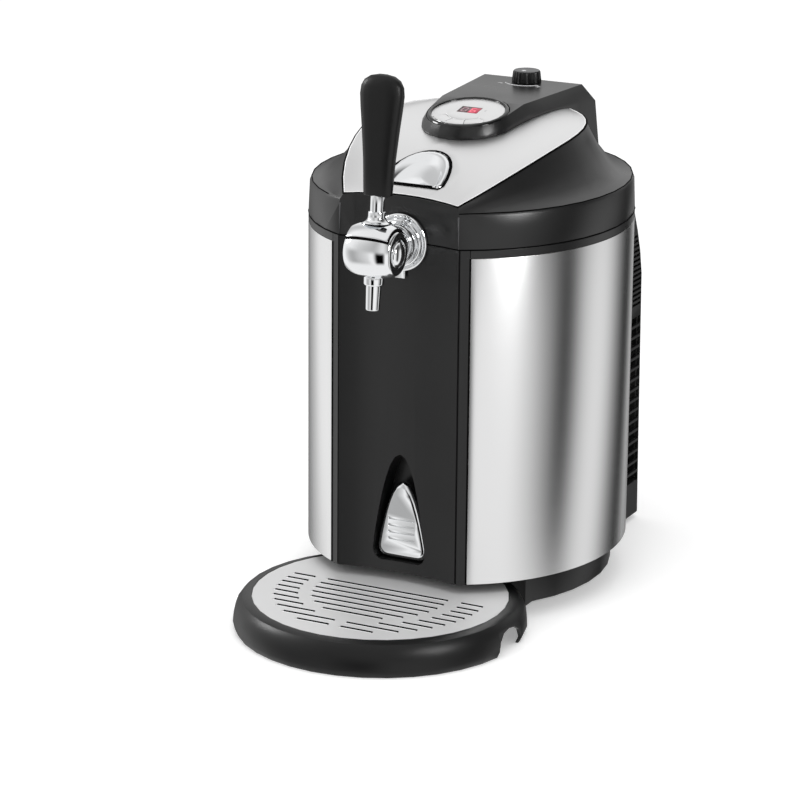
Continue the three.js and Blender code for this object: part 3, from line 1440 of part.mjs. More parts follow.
function housingForm(inset, low) {
  const nose = steps(6).map((s) => (Math.PI / 2) * s);
  const sides = steps(5).slice(1);
  const level = (noseHalf, noseReach, rearHalf, rearY, height) => (part) => {
    if (part.nose) {
      const y = -HOUSING_NOSE - (noseReach - inset) * Math.cos(part.angle);
      return [(noseHalf - inset) * Math.sin(part.angle), y, height(y)];
    }
    const y = mix(-HOUSING_NOSE, rearY - inset, part.share);
    return [mix(noseHalf, rearHalf, part.share) - inset, y, height(y)];
  };
  const rearward = (y) => Math.max(0, y / HOUSING_REAR) ** 2;
  const creaseAt = (y) => mix(housingTopAt(y) - CREASE_DROP, plateRear, rearward(y)) - inset;
  const foot = level(NOSE_FOOT_HALF, NOSE_FOOT_REACH, REAR_FOOT_HALF, HOUSING_REAR, () => low);
  const crease = level(NOSE_CREASE_HALF, NOSE_CREASE_REACH, REAR_CREASE_HALF, HOUSING_REAR, creaseAt);
  const topAt = (y) => housingTopAt(y) - inset;
  const top = level(NOSE_TOP_HALF, NOSE_TOP_REACH, REAR_TOP_HALF, HOUSING_TOP_REAR, topAt);
  const parts = [
    ...nose.map((angle) => ({ nose: true, angle })),
    ...sides.map((share) => ({ nose: false, share })),
  ];
  const rings = parts.map((part) => {
    const right = [foot, crease, top].map((at) => at(part));
    const left = [...right].reverse().map(([x, y, z]) => [-x, y, z]);
    return [...right, ...left].map(([x, y, z]) => point(x, y, z));
  });
  const last = rings[rings.length - 1];
  const middle = last.reduce((sum, p) => sum.add(p), point(0, 0, 0)).divideScalar(last.length);
  return loft([...rings, last.map(() => middle)], false);
}

const disc = new THREE.Group();
disc.position.set(0, DISC_Y, discZ);
disc.rotation.x = rad(DISC_TILT_DEG);
disc.updateMatrix();
const inDiscFrame = (body) => solid(geometryOf(body).applyMatrix4(disc.matrix));
const bezelRadius = DISC_RADIUS + SEAM + BEZEL_WIDTH;

function makeControlHousing() {
  const low = bandTop;
  const shell = cut(housingForm(0, low), housingForm(HOUSING_WALL, low - OVERRUN));
  const lidSkin = lidForm(-SEAM, -SEAM, lidBottom - OVERRUN);
  const seat = inDiscFrame(rod(bezelRadius + SEAM, -BEZEL_DEPTH, OVERRUN, 0, 0, ROUND));
  const shaft = rod(KNOB_SHAFT + SEAM, regulatorTop, housingTop + OVERRUN, 0, KNOB_Y);
  return cut(shell, lidSkin, seat, shaft);
}

part("control_housing", makeControlHousing(), blackPlastic, lid);

// Control disc, bezel, window, buttons and board, in the disc's own tilted frame
lid.add(disc);

function makeBezel() {
  const inner = DISC_RADIUS + SEAM;
  const low = -BEZEL_DEPTH + SEAM;
  const floor = -DISC_THICKNESS - BUTTON_TRAVEL - RUNNING_GAP;
  return turn([
    [inner - BEZEL_WIDTH, low],
    [bezelRadius, low],
    [bezelRadius, -BEZEL_PROUD],
    [bezelRadius - BEZEL_WIDTH / 4, BEZEL_PROUD / 2],
    [inner + BEZEL_WIDTH / 3, BEZEL_PROUD],
    [inner, BEZEL_PROUD / 3],
    [inner, floor],
    [inner - BEZEL_WIDTH, floor],
    [inner - BEZEL_WIDTH, low],
  ]);
}

// A key-shaped stretch of ring between two angles from the front
function ringStretch(inner, outer, from, to, low, high) {
  const arc = (radius) =>
    steps(6).map((s) => {
      const angle = rad(mix(from, to, s));
      return [radius * Math.sin(angle), -radius * Math.cos(angle)];
    });
  return raise([...arc(outer), ...arc(inner).reverse()], low, high);
}

const buttonOuter = DISC_RADIUS - BUTTON_MARGIN;
const buttonSpans = [
  ["button_down", -BUTTON_END_DEG, -BUTTON_SPLIT_DEG],
  ["button_light", -BUTTON_SPLIT_DEG, BUTTON_SPLIT_DEG],
  ["button_up", BUTTON_SPLIT_DEG, BUTTON_END_DEG],
];
const buttonGapDeg = THREE.MathUtils.radToDeg(BUTTON_GAP / ((BUTTON_INNER + buttonOuter) / 2));

function windowBox(grow, low, high) {
  const [w, h] = [WINDOW_WIDTH / 2 + grow, WINDOW_HEIGHT / 2 + grow];
  return block([-w, WINDOW_FORWARD - h, low], [w, WINDOW_FORWARD + h, high]);
}

function makeDisc() {
  const plate = turn([
    [0, -DISC_THICKNESS],
    [DISC_RADIUS, -DISC_THICKNESS],
    [DISC_RADIUS, -DISC_CROWN / 4],
    [BUTTON_INNER * 1.2, DISC_CROWN / 3],
    [BUTTON_INNER, DISC_CROWN / 2],
    [0, DISC_CROWN / 2],
  ]);
  const keys = ringStretch(
    BUTTON_INNER - BUTTON_GAP,
    buttonOuter + BUTTON_GAP,
    -BUTTON_END_DEG - buttonGapDeg,
    BUTTON_END_DEG + buttonGapDeg,
    -OVERRUN,
    OVERRUN,
  );
  return cut(plate, keys, windowBox(SEAM, -OVERRUN, OVERRUN));
}

function makeButton(from, to) {
  const high = DISC_CROWN / 2;
  const gap = buttonGapDeg / 2;
  return ringStretch(BUTTON_INNER, buttonOuter, from + gap, to - gap, -DISC_THICKNESS, high);
}

part("control_bezel", makeBezel(), glossBlack, disc);
part("control_disc", makeDisc(), silverPaint, disc);
part("display_window", windowBox(0, -DISC_THICKNESS, DISC_CROWN / 4), windowGlass, disc);
for (const [name, from, to] of buttonSpans) part(name, makeButton(from, to), silverPaint, disc);

const boardTop = -DISC_THICKNESS - BOARD_DROP;
const boardRadius = DISC_RADIUS - BEZEL_WIDTH - SEAM * 2;
const seatLow = boardTop - BOARD_THICKNESS / 2;
const seatPost = rod(SPRING_WIRE * 2, seatLow, -DISC_THICKNESS - SEAM, 0, WINDOW_FORWARD, PIN_ROUND);
part(
  "control_board",
  join(rod(boardRadius, boardTop - BOARD_THICKNESS, boardTop, 0, 0, SMALL_ROUND), seatPost),
  boardGreen,
  disc,
);

// Pressure knob, in a group on its own axis
const knobBase = housingTop + SEAM;

function makeKnob() {
  const ring = (radius, z) =>
    steps(KNOB_RIBS * 2).slice(1).map((s, i) => {
      const angle = 2 * Math.PI * s;
      const r = radius - (i % 2) * KNOB_RIB_DEPTH;
      return point(r * Math.cos(angle), r * Math.sin(angle), z);
    });
  const grip = loft([
    ring(KNOB_BASE_RADIUS, 0),
    ring(KNOB_TOP_RADIUS, KNOB_HEIGHT - KNOB_RIB_DEPTH),
    ring(KNOB_TOP_RADIUS - KNOB_RIB_DEPTH, KNOB_HEIGHT),
  ]);
  return join(grip, rod(KNOB_SHAFT, regulatorTop + SEAM - knobBase, KNOB_HEIGHT / 2, 0, 0, PIN_ROUND));
}

part("pressure_knob", makeKnob(), blackPlastic, lid).position.set(0, KNOB_Y, knobBase);

// Gas side: regulator under the knob, cartridge in its sleeve, pipe and keg coupler
function makeRegulator() {
  const low = linerTop + SEAM;
  const body = turn(
    [
      [0, low],
      [REGULATOR_FLANGE, low],
      [REGULATOR_FLANGE, low + WALL],
      [REGULATOR_RADIUS, low + WALL * 2],
      [REGULATOR_RADIUS, regulatorTop - REGULATOR_NECK],
      [REGULATOR_NECK, regulatorTop - REGULATOR_NECK / 2],
      [REGULATOR_NECK, regulatorTop],
      [0, regulatorTop],
    ],
    SMALL_ROUND,
  );
  return solid(geometryOf(body).translate(0, KNOB_Y, 0));
}

const sleeveRear = KNOB_Y - REGULATOR_RADIUS - SEAM;

function makeSleeve() {
  const rear = sleeveRear;
  const front = rear - SLEEVE_LENGTH;
  return turnAlongY(
    [
      [0, front],
      [SLEEVE_RADIUS, front],
      [SLEEVE_RADIUS, rear],
      [SLEEVE_RADIUS - SLEEVE_WALL, rear],
      [SLEEVE_RADIUS - SLEEVE_WALL, front + SLEEVE_CAP],
      [0, front + SLEEVE_CAP],
    ],
    0,
    sleeveZ,
    SMALL_ROUND,
  );
}

function makeCartridge() {
  const rear = sleeveRear - SEAM;
  const front = sleeveRear - SLEEVE_LENGTH + SLEEVE_CAP + SEAM;
  const shoulder = front + CARTRIDGE_LENGTH - CARTRIDGE_RADIUS;
  return turnAlongY(
    [
      [0, front],
      [CARTRIDGE_RADIUS * 0.7, front],
      [CARTRIDGE_RADIUS, front + CARTRIDGE_RADIUS * 0.4],
      [CARTRIDGE_RADIUS, shoulder],
      [CARTRIDGE_NECK, front + CARTRIDGE_LENGTH - CARTRIDGE_NECK],
      [CARTRIDGE_NECK, rear],
      [0, rear],
    ],
    0,
    sleeveZ,
    SMALL_ROUND,
  );
}

const couplerTop = linerTop + SEAM + WALL;

function makeGasPipe() {
  const rear = KNOB_Y - REGULATOR_RADIUS - SEAM;
  const bend = GAS_BEND * 1.6;
  const path = new THREE.CurvePath();
  const [start, knee] = [point(0, rear, gasPipeZ), point(0, bend, gasPipeZ)];
  const [corner, drop] = [point(0, 0, gasPipeZ), point(0, 0, couplerTop + SEAM)];
  path.add(new THREE.LineCurve3(start, knee));
  path.add(new THREE.QuadraticBezierCurve3(knee, corner, drop));
  const section = new THREE.Shape(circlePoints(GAS_PIPE_RADIUS, 6));
  return solid(new THREE.ExtrudeGeometry(section, { steps: 14, extrudePath: path }));
}

function makeCoupler() {
  const low = linerTop + SEAM;
  const foot = linerLow - COUPLER_DROP;
  return turn(
    [
      [0, foot],
      [COUPLER_NOZZLE, foot],
      [COUPLER_NOZZLE, foot + COUPLER_DROP / 3],
      [COUPLER_RADIUS, foot + COUPLER_DROP / 2],
      [COUPLER_RADIUS, low],
      [COUPLER_FLANGE, low],
      [COUPLER_FLANGE, couplerTop],
      [0, couplerTop],
    ],
    SMALL_ROUND,
  );
}

part("regulator_body", makeRegulator(), brass, lid);
part("cartridge_sleeve", makeSleeve(), blackPlastic, lid);
part("gas_cartridge", makeCartridge(), cartridgeSteel, lid);
part("gas_pipe", makeGasPipe(), cartridgeSteel, lid);
part("keg_coupler", makeCoupler(), blackPlastic, lid);

// Tap fixing: flange on the panel, nut behind it
const panelFace = hollowAt(FLANGE_RADIUS / FRONT_HALF) - frontCornerY - SEAM;

function makeTapFlange() {
  const disc = turnAlongY(
    [
      [0, panelFace],
      [FLANGE_RADIUS, panelFace],
      [FLANGE_RADIUS, panelFace - FLANGE_DEPTH * 0.35],
      [FLANGE_RADIUS * 0.94, panelFace - FLANGE_DEPTH * 0.8],
      [FLANGE_RADIUS * 0.84, panelFace - FLANGE_DEPTH],
      [SHANK_COLLAR, panelFace - FLANGE_DEPTH * 0.8],
      [0, panelFace - FLANGE_DEPTH * 0.8],
    ],
    0,
    shankZ,
    FINE_ROUND,
  );
  const lugTop = shankZ - FLANGE_RADIUS + LUG_HEIGHT / 4;
  const lug = block(
    [-LUG_WIDTH / 2, panelFace - LUG_DEPTH, lugTop - LUG_HEIGHT],
    [LUG_WIDTH / 2, panelFace, lugTop],
  );
  const hole = rodAlongY(SHANK_RADIUS + SEAM, panelFace - OVERRUN, panelFace + OVERRUN, 0, shankZ);
  return cut(join(disc, lug), hole);
}

// The barrel's radius along X: a squared-off revolve
const fullness = (x) => 1 - Math.abs(x / BARREL_HALF) ** BARREL_SQUARENESS;
const barrelRadius = (x) => BARREL_RADIUS * fullness(x) ** (1 / BARREL_SQUARENESS);
const barrelPlaces = steps(8).map((s) => BARREL_END * Math.sin(Math.PI * (s - 0.5)));

function barrelForm(grow, half) {
  const share = half / BARREL_END;
  const shell = barrelPlaces.map((x) => [barrelRadius(x * share) + grow, x * share]);
  return turnAlongX([[0, -half], ...shell, [0, half]], BARREL_ROUND);
}

const tapFrame = new THREE.Group();
tapFrame.position.set(0, TAP_Y, tapZ);
tapFrame.rotation.x = -rad(TAP_LEAN_DEG);
root.add(tapFrame);
tapFrame.updateMatrix();
const tapInverse = tapFrame.matrix.clone().invert();
const toTapFrame = (body) => solid(geometryOf(body).applyMatrix4(tapInverse));
const fromTapFrame = (body) => solid(geometryOf(body).applyMatrix4(tapFrame.matrix));

function makeShank() {
  const step = FLANGE_DEPTH * 0.8;
  const face = panelFace - step - SEAM;
  const reach = TAP_Y - face;
  const tail = shankTail;
  const body = turnAlongY(
    [
      [0, TAP_Y + BARREL_RADIUS / 2],
      [SHANK_COLLAR * 0.94, TAP_Y + BARREL_RADIUS / 2],
      [SHANK_COLLAR * 0.94, face + reach * 0.36],
      [SHANK_COLLAR * 0.8, face + reach * 0.3],
      [SHANK_COLLAR * 0.8, face + reach * 0.24],
      [SHANK_COLLAR, face + reach * 0.2],
      [SHANK_COLLAR, face + reach * 0.13],
      [SHANK_COLLAR * 0.84, face + reach * 0.09],
      [SHANK_COLLAR * 0.9, face],
      [SHANK_RADIUS, face],
      [SHANK_RADIUS, tail - NUT_THICKNESS],
      [SHANK_RADIUS * 0.6, tail - NUT_THICKNESS / 2],
      [SHANK_RADIUS * 0.6, tail],
      [0, tail],
    ],
    0,
    shankZ,
    SMALL_ROUND,
  );
  const bore = rodAlongY(SHANK_BORE, TAP_Y, tail + OVERRUN, 0, shankZ, PIN_ROUND);
  return cut(body, bore, fromTapFrame(barrelForm(SEAM, BARREL_END)));
}

function makeShankNut() {
  const front = nutFront;
  const nut = rodAlongY(NUT_RADIUS, front, front + NUT_THICKNESS, 0, shankZ, 6);
  return cut(nut, rodAlongY(SHANK_RADIUS + SEAM, front - OVERRUN, front + OVERRUN, 0, shankZ));
}

part("tap_flange", makeTapFlange(), chrome);
part("tap_shank", makeShank(), chrome);
part("shank_nut", makeShankNut(), brass);

// A wedge about the X axis between two angles from upright, forwards positive
function wedge(fromDeg, toDeg, reach, half) {
  const arc = steps(6).map((s) => {
    const angle = rad(mix(fromDeg, toDeg, s));
    return [-reach * Math.sin(angle), reach * Math.cos(angle)];
  });
  return across([[0, 0], ...arc], 0, 2 * half);
}

function makeTapBody() {
  const bore = rodAlongX(BARREL_BORE, 0, 4 * BARREL_HALF, 0, 0, BARREL_ROUND);
  const slotHalf = STEM_RADIUS + RUNNING_GAP;
  const stemSlot = (swing) => {
    const slab = new THREE.BoxGeometry(2 * slotHalf, 2 * slotHalf, 2 * BARREL_RADIUS);
    return solid(slab.translate(0, 0, BARREL_RADIUS).rotateX(rad(swing)));
  };
  const fan = wedge(0, LEVER_SWING_DEG, 2 * BARREL_RADIUS, slotHalf);
  const slot = join(fan, stemSlot(0), stemSlot(LEVER_SWING_DEG));
  const outlet = rod(SPOUT_BORE, -2 * BARREL_RADIUS, 0, 0, 0, PIN_ROUND);
  const inlet = toTapFrame(rodAlongY(SHANK_BORE, TAP_Y, TAP_Y + 2 * BARREL_RADIUS, 0, shankZ, PIN_ROUND));
  const seatX = BARREL_END + OVERRUN / 2 - CAP_DEPTH / 2;
  const seat = (side) => rodAlongX(CAP_RADIUS + SEAM, side * seatX, OVERRUN, 0, 0);
  return cut(barrelForm(0, BARREL_END), bore, slot, outlet, inlet, seat(-1), seat(1));
}

function makeTapCap(side) {
  const face = BARREL_END + SEAM;
  const inner = CORE_HALF + SEAM;
  const flangeAt = BARREL_END - CAP_DEPTH / 2 + SEAM;
  const profile = [
    [0, inner],
    [BARREL_BORE - SEAM, inner],
    [BARREL_BORE - SEAM, flangeAt],
    [CAP_RADIUS, flangeAt],
    [CAP_RADIUS, face - CAP_DEPTH / 6],
    [CAP_RADIUS * 0.92, face],
    [0, face + CAP_DEPTH / 6],
  ];
  return turnAlongX(profile.map(([r, x]) => [r, side * x]), SMALL_ROUND);
}

function makeTapCore() {
  const core = rodAlongX(BARREL_BORE - SEAM, 0, 2 * CORE_HALF, 0, 0, BARREL_ROUND);
  const stemHole = rod(STEM_RADIUS + SEAM, 0, 2 * BARREL_RADIUS);
  return cut(core, stemHole);
}

function makeSpout() {
  const outer = [
    [0, -SPOUT_TIP],
    [SPOUT_TIP_RADIUS, -SPOUT_TIP],
    [SPOUT_RADIUS, -SPOUT_RING_Z - SPOUT_RING_RADIUS / 4],
    [SPOUT_RING_RADIUS * 0.92, -SPOUT_RING_Z - SPOUT_RING_RADIUS / 6],
    [SPOUT_RING_RADIUS, -SPOUT_RING_Z],
    [SPOUT_RING_RADIUS * 0.92, -SPOUT_RING_Z + SPOUT_RING_RADIUS / 5],
    [SPOUT_RING_RADIUS * 0.86, -BARREL_RADIUS + BARREL_RADIUS / 10],
    [0, -BARREL_RADIUS + BARREL_RADIUS / 10],
  ];
  const bore = rod(SPOUT_BORE, -2 * SPOUT_TIP, 0, 0, 0, PIN_ROUND);
  return cut(turn(outer, SMALL_ROUND), bore, barrelForm(SEAM, BARREL_END));
}

part("tap_body", makeTapBody(), chrome, tapFrame);
part("tap_cap_left", makeTapCap(-1), chrome, tapFrame);
part("tap_cap_right", makeTapCap(1), chrome, tapFrame);
part("tap_spout", makeSpout(), chrome, tapFrame);

// Lever: hub over the barrel, stem into the core, and the handle
const hubInner = SEAM;

function makeLeverHub() {
  const share = HUB_HALF / BARREL_END;
  const outer = barrelPlaces.map((x) => [barrelRadius(x * share) + hubInner + HUB_THICKNESS, x * share]);
  const ring = turnAlongX([[0, -HUB_HALF], ...outer, [0, HUB_HALF]], BARREL_ROUND);
  const saddle = ring.intersect(wedge(-HUB_REAR_DEG, HUB_FRONT_DEG, 3 * BARREL_RADIUS, HUB_HALF * 2));
  const flare = steps(5).map((s) => {
    const drop = NECK_FLARE * (1 - Math.sin((Math.PI / 2) * s)) * 1.4;
    return [NECK_RADIUS + drop, BARREL_RADIUS + HUB_THICKNESS / 2 + s * NECK_FLARE];
  });
  const low = BARREL_RADIUS / 2;
  const neck = turn(
    [
      [0, low],
      [flare[0][0], low],
      ...flare,
      [NECK_RADIUS, NECK_TOP - 0.1 * NECK_FLARE],
      [NECK_RADIUS * 0.93, NECK_TOP],
      [0, NECK_TOP],
    ],
    SMALL_ROUND,
  );
  const inside = barrelForm(hubInner, BARREL_END);
  const hole = rod(STEM_RADIUS + SEAM, 0, 2 * NECK_TOP);
  return cut(join(saddle, neck), inside, hole);
}

const leanRise = TAP_TOP_RISE / Math.cos(rad(TAP_LEAN_DEG));
const handleTop = leanRise - HANDLE_THICKEST * 0.22 * Math.sin(rad(TAP_LEAN_DEG));

function makeStem() {
  return rod(STEM_RADIUS, SEAM, HANDLE_BOTTOM - SEAM, 0, 0, SMALL_ROUND);
}

function makeHandle() {
  const rings = handleShares.map(([height, width, thickness]) => {
    const z = mix(HANDLE_BOTTOM, handleTop, height);
    const [a, b] = [HANDLE_WIDEST * width, HANDLE_THICKEST * thickness];
    return steps(20).slice(1).map((s) => {
      const angle = 2 * Math.PI * s;
      const [c, d] = [Math.cos(angle), Math.sin(angle)];
      const corner = Math.abs(c) ** HANDLE_SQUARENESS + Math.abs(d) ** HANDLE_SQUARENESS;
      const squash = corner ** (-1 / HANDLE_SQUARENESS);
      return point(a * c * squash, b * d * squash, z);
    });
  });
  return loft(rings);
}

part("lever_hub", makeLeverHub(), chrome, tapFrame);
part("lever_stem", makeStem(), chrome, tapFrame);
part("tap_core", makeTapCore(), brass, tapFrame);
part("tap_handle", makeHandle(), blackPlastic, tapFrame);

export default root;
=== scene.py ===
# %% [markdown]
# # A chilled keg dispenser, dressed around its CAD frame
# The imported CAD part already has every wall, hinge and slot at its true size. This script gives it the
# surfaces that the eye judges it by: brushed steel, satin black mouldings, polished chrome and a small
# red display. It loads the frame first.

# %% Load the frame
import json
import math

import bpy
from mathutils import Matrix, Vector


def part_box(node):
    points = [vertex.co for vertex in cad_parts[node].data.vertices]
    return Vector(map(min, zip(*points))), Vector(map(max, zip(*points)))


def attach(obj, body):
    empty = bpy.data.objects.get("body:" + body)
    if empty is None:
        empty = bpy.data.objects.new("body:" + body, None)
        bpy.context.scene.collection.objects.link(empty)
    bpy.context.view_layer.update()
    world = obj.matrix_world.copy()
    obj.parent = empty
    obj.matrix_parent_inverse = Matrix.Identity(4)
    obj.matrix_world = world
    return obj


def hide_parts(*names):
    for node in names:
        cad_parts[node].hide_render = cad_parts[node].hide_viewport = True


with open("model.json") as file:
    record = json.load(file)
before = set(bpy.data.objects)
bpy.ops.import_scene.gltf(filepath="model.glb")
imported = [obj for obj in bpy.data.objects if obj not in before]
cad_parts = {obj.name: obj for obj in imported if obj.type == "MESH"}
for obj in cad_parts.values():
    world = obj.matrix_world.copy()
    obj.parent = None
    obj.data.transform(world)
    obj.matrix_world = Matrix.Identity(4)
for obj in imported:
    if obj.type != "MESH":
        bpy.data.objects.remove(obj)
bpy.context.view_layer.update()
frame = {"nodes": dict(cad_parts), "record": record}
nodes = frame["nodes"]
slot_of = {entry["node"]: entry["material_slot"] for entry in frame["record"]["subparts"]}
body_of = {node: body for body, held in frame["record"]["behaviour"]["bodies"].items() for node in held}
joints = {joint["name"]: joint for joint in frame["record"]["behaviour"]["joints"]}
MM = 0.001

# %% [markdown]
# ## Handling objects
# Blender's operators act on whatever is selected, and loading leaves every node selected. Each step
# therefore starts by deselecting everything and picking the one object it works on.


# %% Picking, settling and measuring
def drop_all():
    if bpy.context.object and bpy.context.object.mode != "OBJECT":
        bpy.ops.object.mode_set(mode="OBJECT")
    bpy.ops.object.select_all(action="DESELECT")


def pick(obj):
    drop_all()
    obj.hide_set(False)
    obj.select_set(True)
    bpy.context.view_layer.objects.active = obj


def settle(obj):
    """Puts the object's place into its mesh, so that the object itself sits at the origin."""
    pick(obj)
    bpy.ops.object.transform_apply(location=True, rotation=True, scale=True)
    return obj


def middle_of(node):
    low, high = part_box(node)
    return (low + high) / 2


print("the tap handle's middle:", [round(v, 3) for v in middle_of("tap_handle")])

# %% [markdown]
# A modifier is added, set and applied in one go, so that every finished piece is plain mesh. A piece then
# belongs to the dispenser once it has a finish and a body to move with, and the CAD nodes that it stands
# for are hidden.


# %% Applying modifiers and handing a piece over
def shaped(obj, kind, **settings):
    """Adds a modifier to the active object, sets it and applies it."""
    change = obj.modifiers.new(kind.lower(), kind)
    for setting, value in settings.items():
        setattr(change, setting, value)
    bpy.ops.object.modifier_apply(modifier=change.name)
    return obj


def hand_over(obj, name, finish, body, slot, *stands_for):
    """Names a finished piece, gives it its finish and fixes it to the body it moves with."""
    obj.name = name
    obj.data.name = name
    obj.data.materials.clear()
    obj.data.materials.append(finish)
    for face in obj.data.polygons:
        face.material_index = 0
    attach(obj, body)
    if stands_for:
        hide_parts(*stands_for)
    return obj


print("bodies to ride on:", len(set(body_of.values())))

# %% [markdown]
# ## Finishes
# Every finish is a node material that reads Object coordinates, in metres. A pattern's scale is therefore
# a real size: a noise scale of 1000 repeats about once a millimetre. These helpers make the shader, its
# noise, and the nodes that turn the noise into gloss, tint or grain.

# %% A shader with a noise pattern behind it
NOISE_RANGE = (0.3, 0.7)
COLOR_A, COLOR_B, COLOR_RESULT = 6, 7, 2


def new_finish(name, color, roughness, metallic=0.0):
    finish = bpy.data.materials.new(name)
    finish.use_nodes = True
    shader = finish.node_tree.nodes["Principled BSDF"]
    shader.inputs["Base Color"].default_value = (*color, 1)
    shader.inputs["Roughness"].default_value = roughness
    shader.inputs["Metallic"].default_value = metallic
    return finish, finish.node_tree, shader


def noise(tree, scale, stretch=(1, 1, 1), detail=3.0):
    place = tree.nodes.new("ShaderNodeTexCoord")
    squeeze = tree.nodes.new("ShaderNodeMapping")
    squeeze.inputs["Scale"].default_value = stretch
    pattern = tree.nodes.new("ShaderNodeTexNoise")
    pattern.inputs["Scale"].default_value = scale
    pattern.inputs["Detail"].default_value = detail
    tree.links.new(place.outputs["Object"], squeeze.inputs["Vector"])
    tree.links.new(squeeze.outputs["Vector"], pattern.inputs["Vector"])
    return pattern.outputs["Fac"]


def spread(tree, value, low, high):
    """Maps the range that a noise lies in to another, such as least and greatest roughness."""
    ramp = tree.nodes.new("ShaderNodeMapRange")
    ramp.inputs["From Min"].default_value, ramp.inputs["From Max"].default_value = NOISE_RANGE
    ramp.inputs["To Min"].default_value = low
    ramp.inputs["To Max"].default_value = high
    tree.links.new(value, ramp.inputs["Value"])
    return ramp.outputs["Result"]


def shade(tree, value, dark, light):
    mix = tree.nodes.new("ShaderNodeMix")
    mix.data_type = "RGBA"
    mix.inputs[COLOR_A].default_value = (*dark, 1)
    mix.inputs[COLOR_B].default_value = (*light, 1)
    tree.links.new(value, mix.inputs["Factor"])
    return mix.outputs[COLOR_RESULT]


def grain(tree, shader, value, depth, strength):
    bump = tree.nodes.new("ShaderNodeBump")
    bump.inputs["Distance"].default_value = depth
    bump.inputs["Strength"].default_value = strength
    tree.links.new(value, bump.inputs["Height"])
    tree.links.new(bump.outputs["Normal"], shader.inputs["Normal"])


def glow(shader, color, strength):
    shader.inputs["Emission Color"].default_value = (*color, 1)
    shader.inputs["Emission Strength"].default_value = strength


print("a noise is read between", NOISE_RANGE)

# %% [markdown]
# The black mouldings have a spark-eroded surface: a grain of about half a millimetre that scatters the
# studio light into a soft grey. A slower pattern makes the gloss a little uneven, as handling does. Base,
# handle, knob and rubber differ in grain, gloss and in how much light their surface turns back, so these
# are arguments.

# %% Moulded black plastic
GRAIN_SCALE = 2200
HANDLING_SCALE = 14
GLOSS_SWING = 0.03
MOULDED_RELIEF = 0.35
BLUISH = 1.03
DARKER, LIGHTER, BLUER = 0.9, 1.1, 1.13


def moulded_black(name, tone, roughness, depth, turned_back=0.5):
    finish, tree, shader = new_finish(name, (tone, tone, tone * BLUISH), roughness)
    fine = noise(tree, GRAIN_SCALE, detail=2.0)
    slow = noise(tree, HANDLING_SCALE)
    gloss = spread(tree, slow, roughness - GLOSS_SWING, roughness + GLOSS_SWING)
    tree.links.new(gloss, shader.inputs["Roughness"])
    light = (tone * LIGHTER, tone * LIGHTER, tone * BLUER)
    tint = shade(tree, slow, (tone * DARKER,) * 3, light)
    tree.links.new(tint, shader.inputs["Base Color"])
    grain(tree, shader, fine, depth, MOULDED_RELIEF)
    shader.inputs["Specular IOR Level"].default_value = turned_back
    return finish


satin_black = moulded_black("satin_black", 0.009, 0.3, 0.00004, 0.45)
grained_black = moulded_black("grained_black", 0.007, 0.36, 0.0001, 0.3)
smooth_black = moulded_black("smooth_black", 0.005, 0.28, 0.00001, 0.32)
shiny_black = moulded_black("shiny_black", 0.005, 0.1, 0.000005)
handle_black = moulded_black("handle_black", 0.004, 0.4, 0.00002, 0.3)
rubber = moulded_black("rubber", 0.012, 0.7, 0.0001, 0.15)
# Near-black with almost no reflection, for tubes and sheets that stand in for the shade in gaps, grooves
# and under lips: painted shade.
painted_shade_black = moulded_black("painted_shade_black", 0.001, 0.8, 0.00001, 0.05)
print("blacks:", [finish.name for finish in bpy.data.materials if "black" in finish.name])

# %% [markdown]
# Brushing leaves scratches that are long one way and a few hundredths of a millimetre across. The noise
# is squeezed along the brushing and packed tight across it. The side panels are brushed round the body
# and smear light up and down, so their shader is anisotropic along a tangent that runs round Z. The grid
# is brushed side to side. The other metals, and the silver paint, use the same shader with an even noise.

# %% Brushed metals
TONE_SWING = (0.975, 1.02, 1.025)
SCRATCH_GLOSS = 0.02
SCRATCH_RELIEF = 0.15
ROUND_THE_BODY = (30, 30, 9000)
SIDE_TO_SIDE = (40, 7000, 40)


def brushed(name, tone, roughness, stretch, smear=0.0, turned=0.0, depth=0.000004, metallic=1.0):
    finish, tree, shader = new_finish(name, (tone, tone, tone), roughness, metallic)
    lines = noise(tree, 1.0, stretch, detail=4.0)
    gloss = spread(tree, lines, roughness - SCRATCH_GLOSS, roughness + SCRATCH_GLOSS)
    tree.links.new(gloss, shader.inputs["Roughness"])
    low, high, blue = (tone * share for share in TONE_SWING)
    tree.links.new(shade(tree, lines, (low, low, low), (high, high, blue)), shader.inputs["Base Color"])
    grain(tree, shader, lines, depth, SCRATCH_RELIEF)
    if smear:
        along = tree.nodes.new("ShaderNodeTangent")
        along.direction_type = "RADIAL"
        along.axis = "Z"
        tree.links.new(along.outputs["Tangent"], shader.inputs["Tangent"])
    shader.inputs["Anisotropic"].default_value = smear
    shader.inputs["Anisotropic Rotation"].default_value = turned
    return finish


panel_steel = brushed("panel_steel", 0.78, 0.25, ROUND_THE_BODY, smear=0.6, turned=0.25)
grid_steel = brushed("grid_steel", 0.72, 0.5, SIDE_TO_SIDE, metallic=0.25)
silver = brushed("silver_plate", 0.78, 0.34, (2500, 2500, 2500))
# A pale finish that also glows a little, so that thin tubes on the plate's polished edge and on the grid's
# slot edges show as painted highlights.
glowing_edge_highlight = brushed("glowing_edge_highlight", 0.97, 0.3, (300, 300, 300), metallic=0.2)
glow(glowing_edge_highlight.node_tree.nodes["Principled BSDF"], (1, 1, 1), 0.12)
plain_steel = brushed("plain_steel", 0.6, 0.3, (400, 400, 400))
cast_aluminium = brushed("cast_aluminium", 0.66, 0.42, (900, 900, 900), depth=0.00001)
turned_brass = brushed("turned_brass", 0.5, 0.3, (200, 200, 4000))
print("materials so far:", len(bpy.data.materials))

# %% [markdown]
# Chrome is nearly a mirror. A faint, slow pattern in its roughness keeps it from looking computed, as a
# wiped surface has. The display window is smoked plastic, and its digits give off a little red light of
# their own. Printed marks, foam, liner and circuit board are plain stuff with a fine speckle.

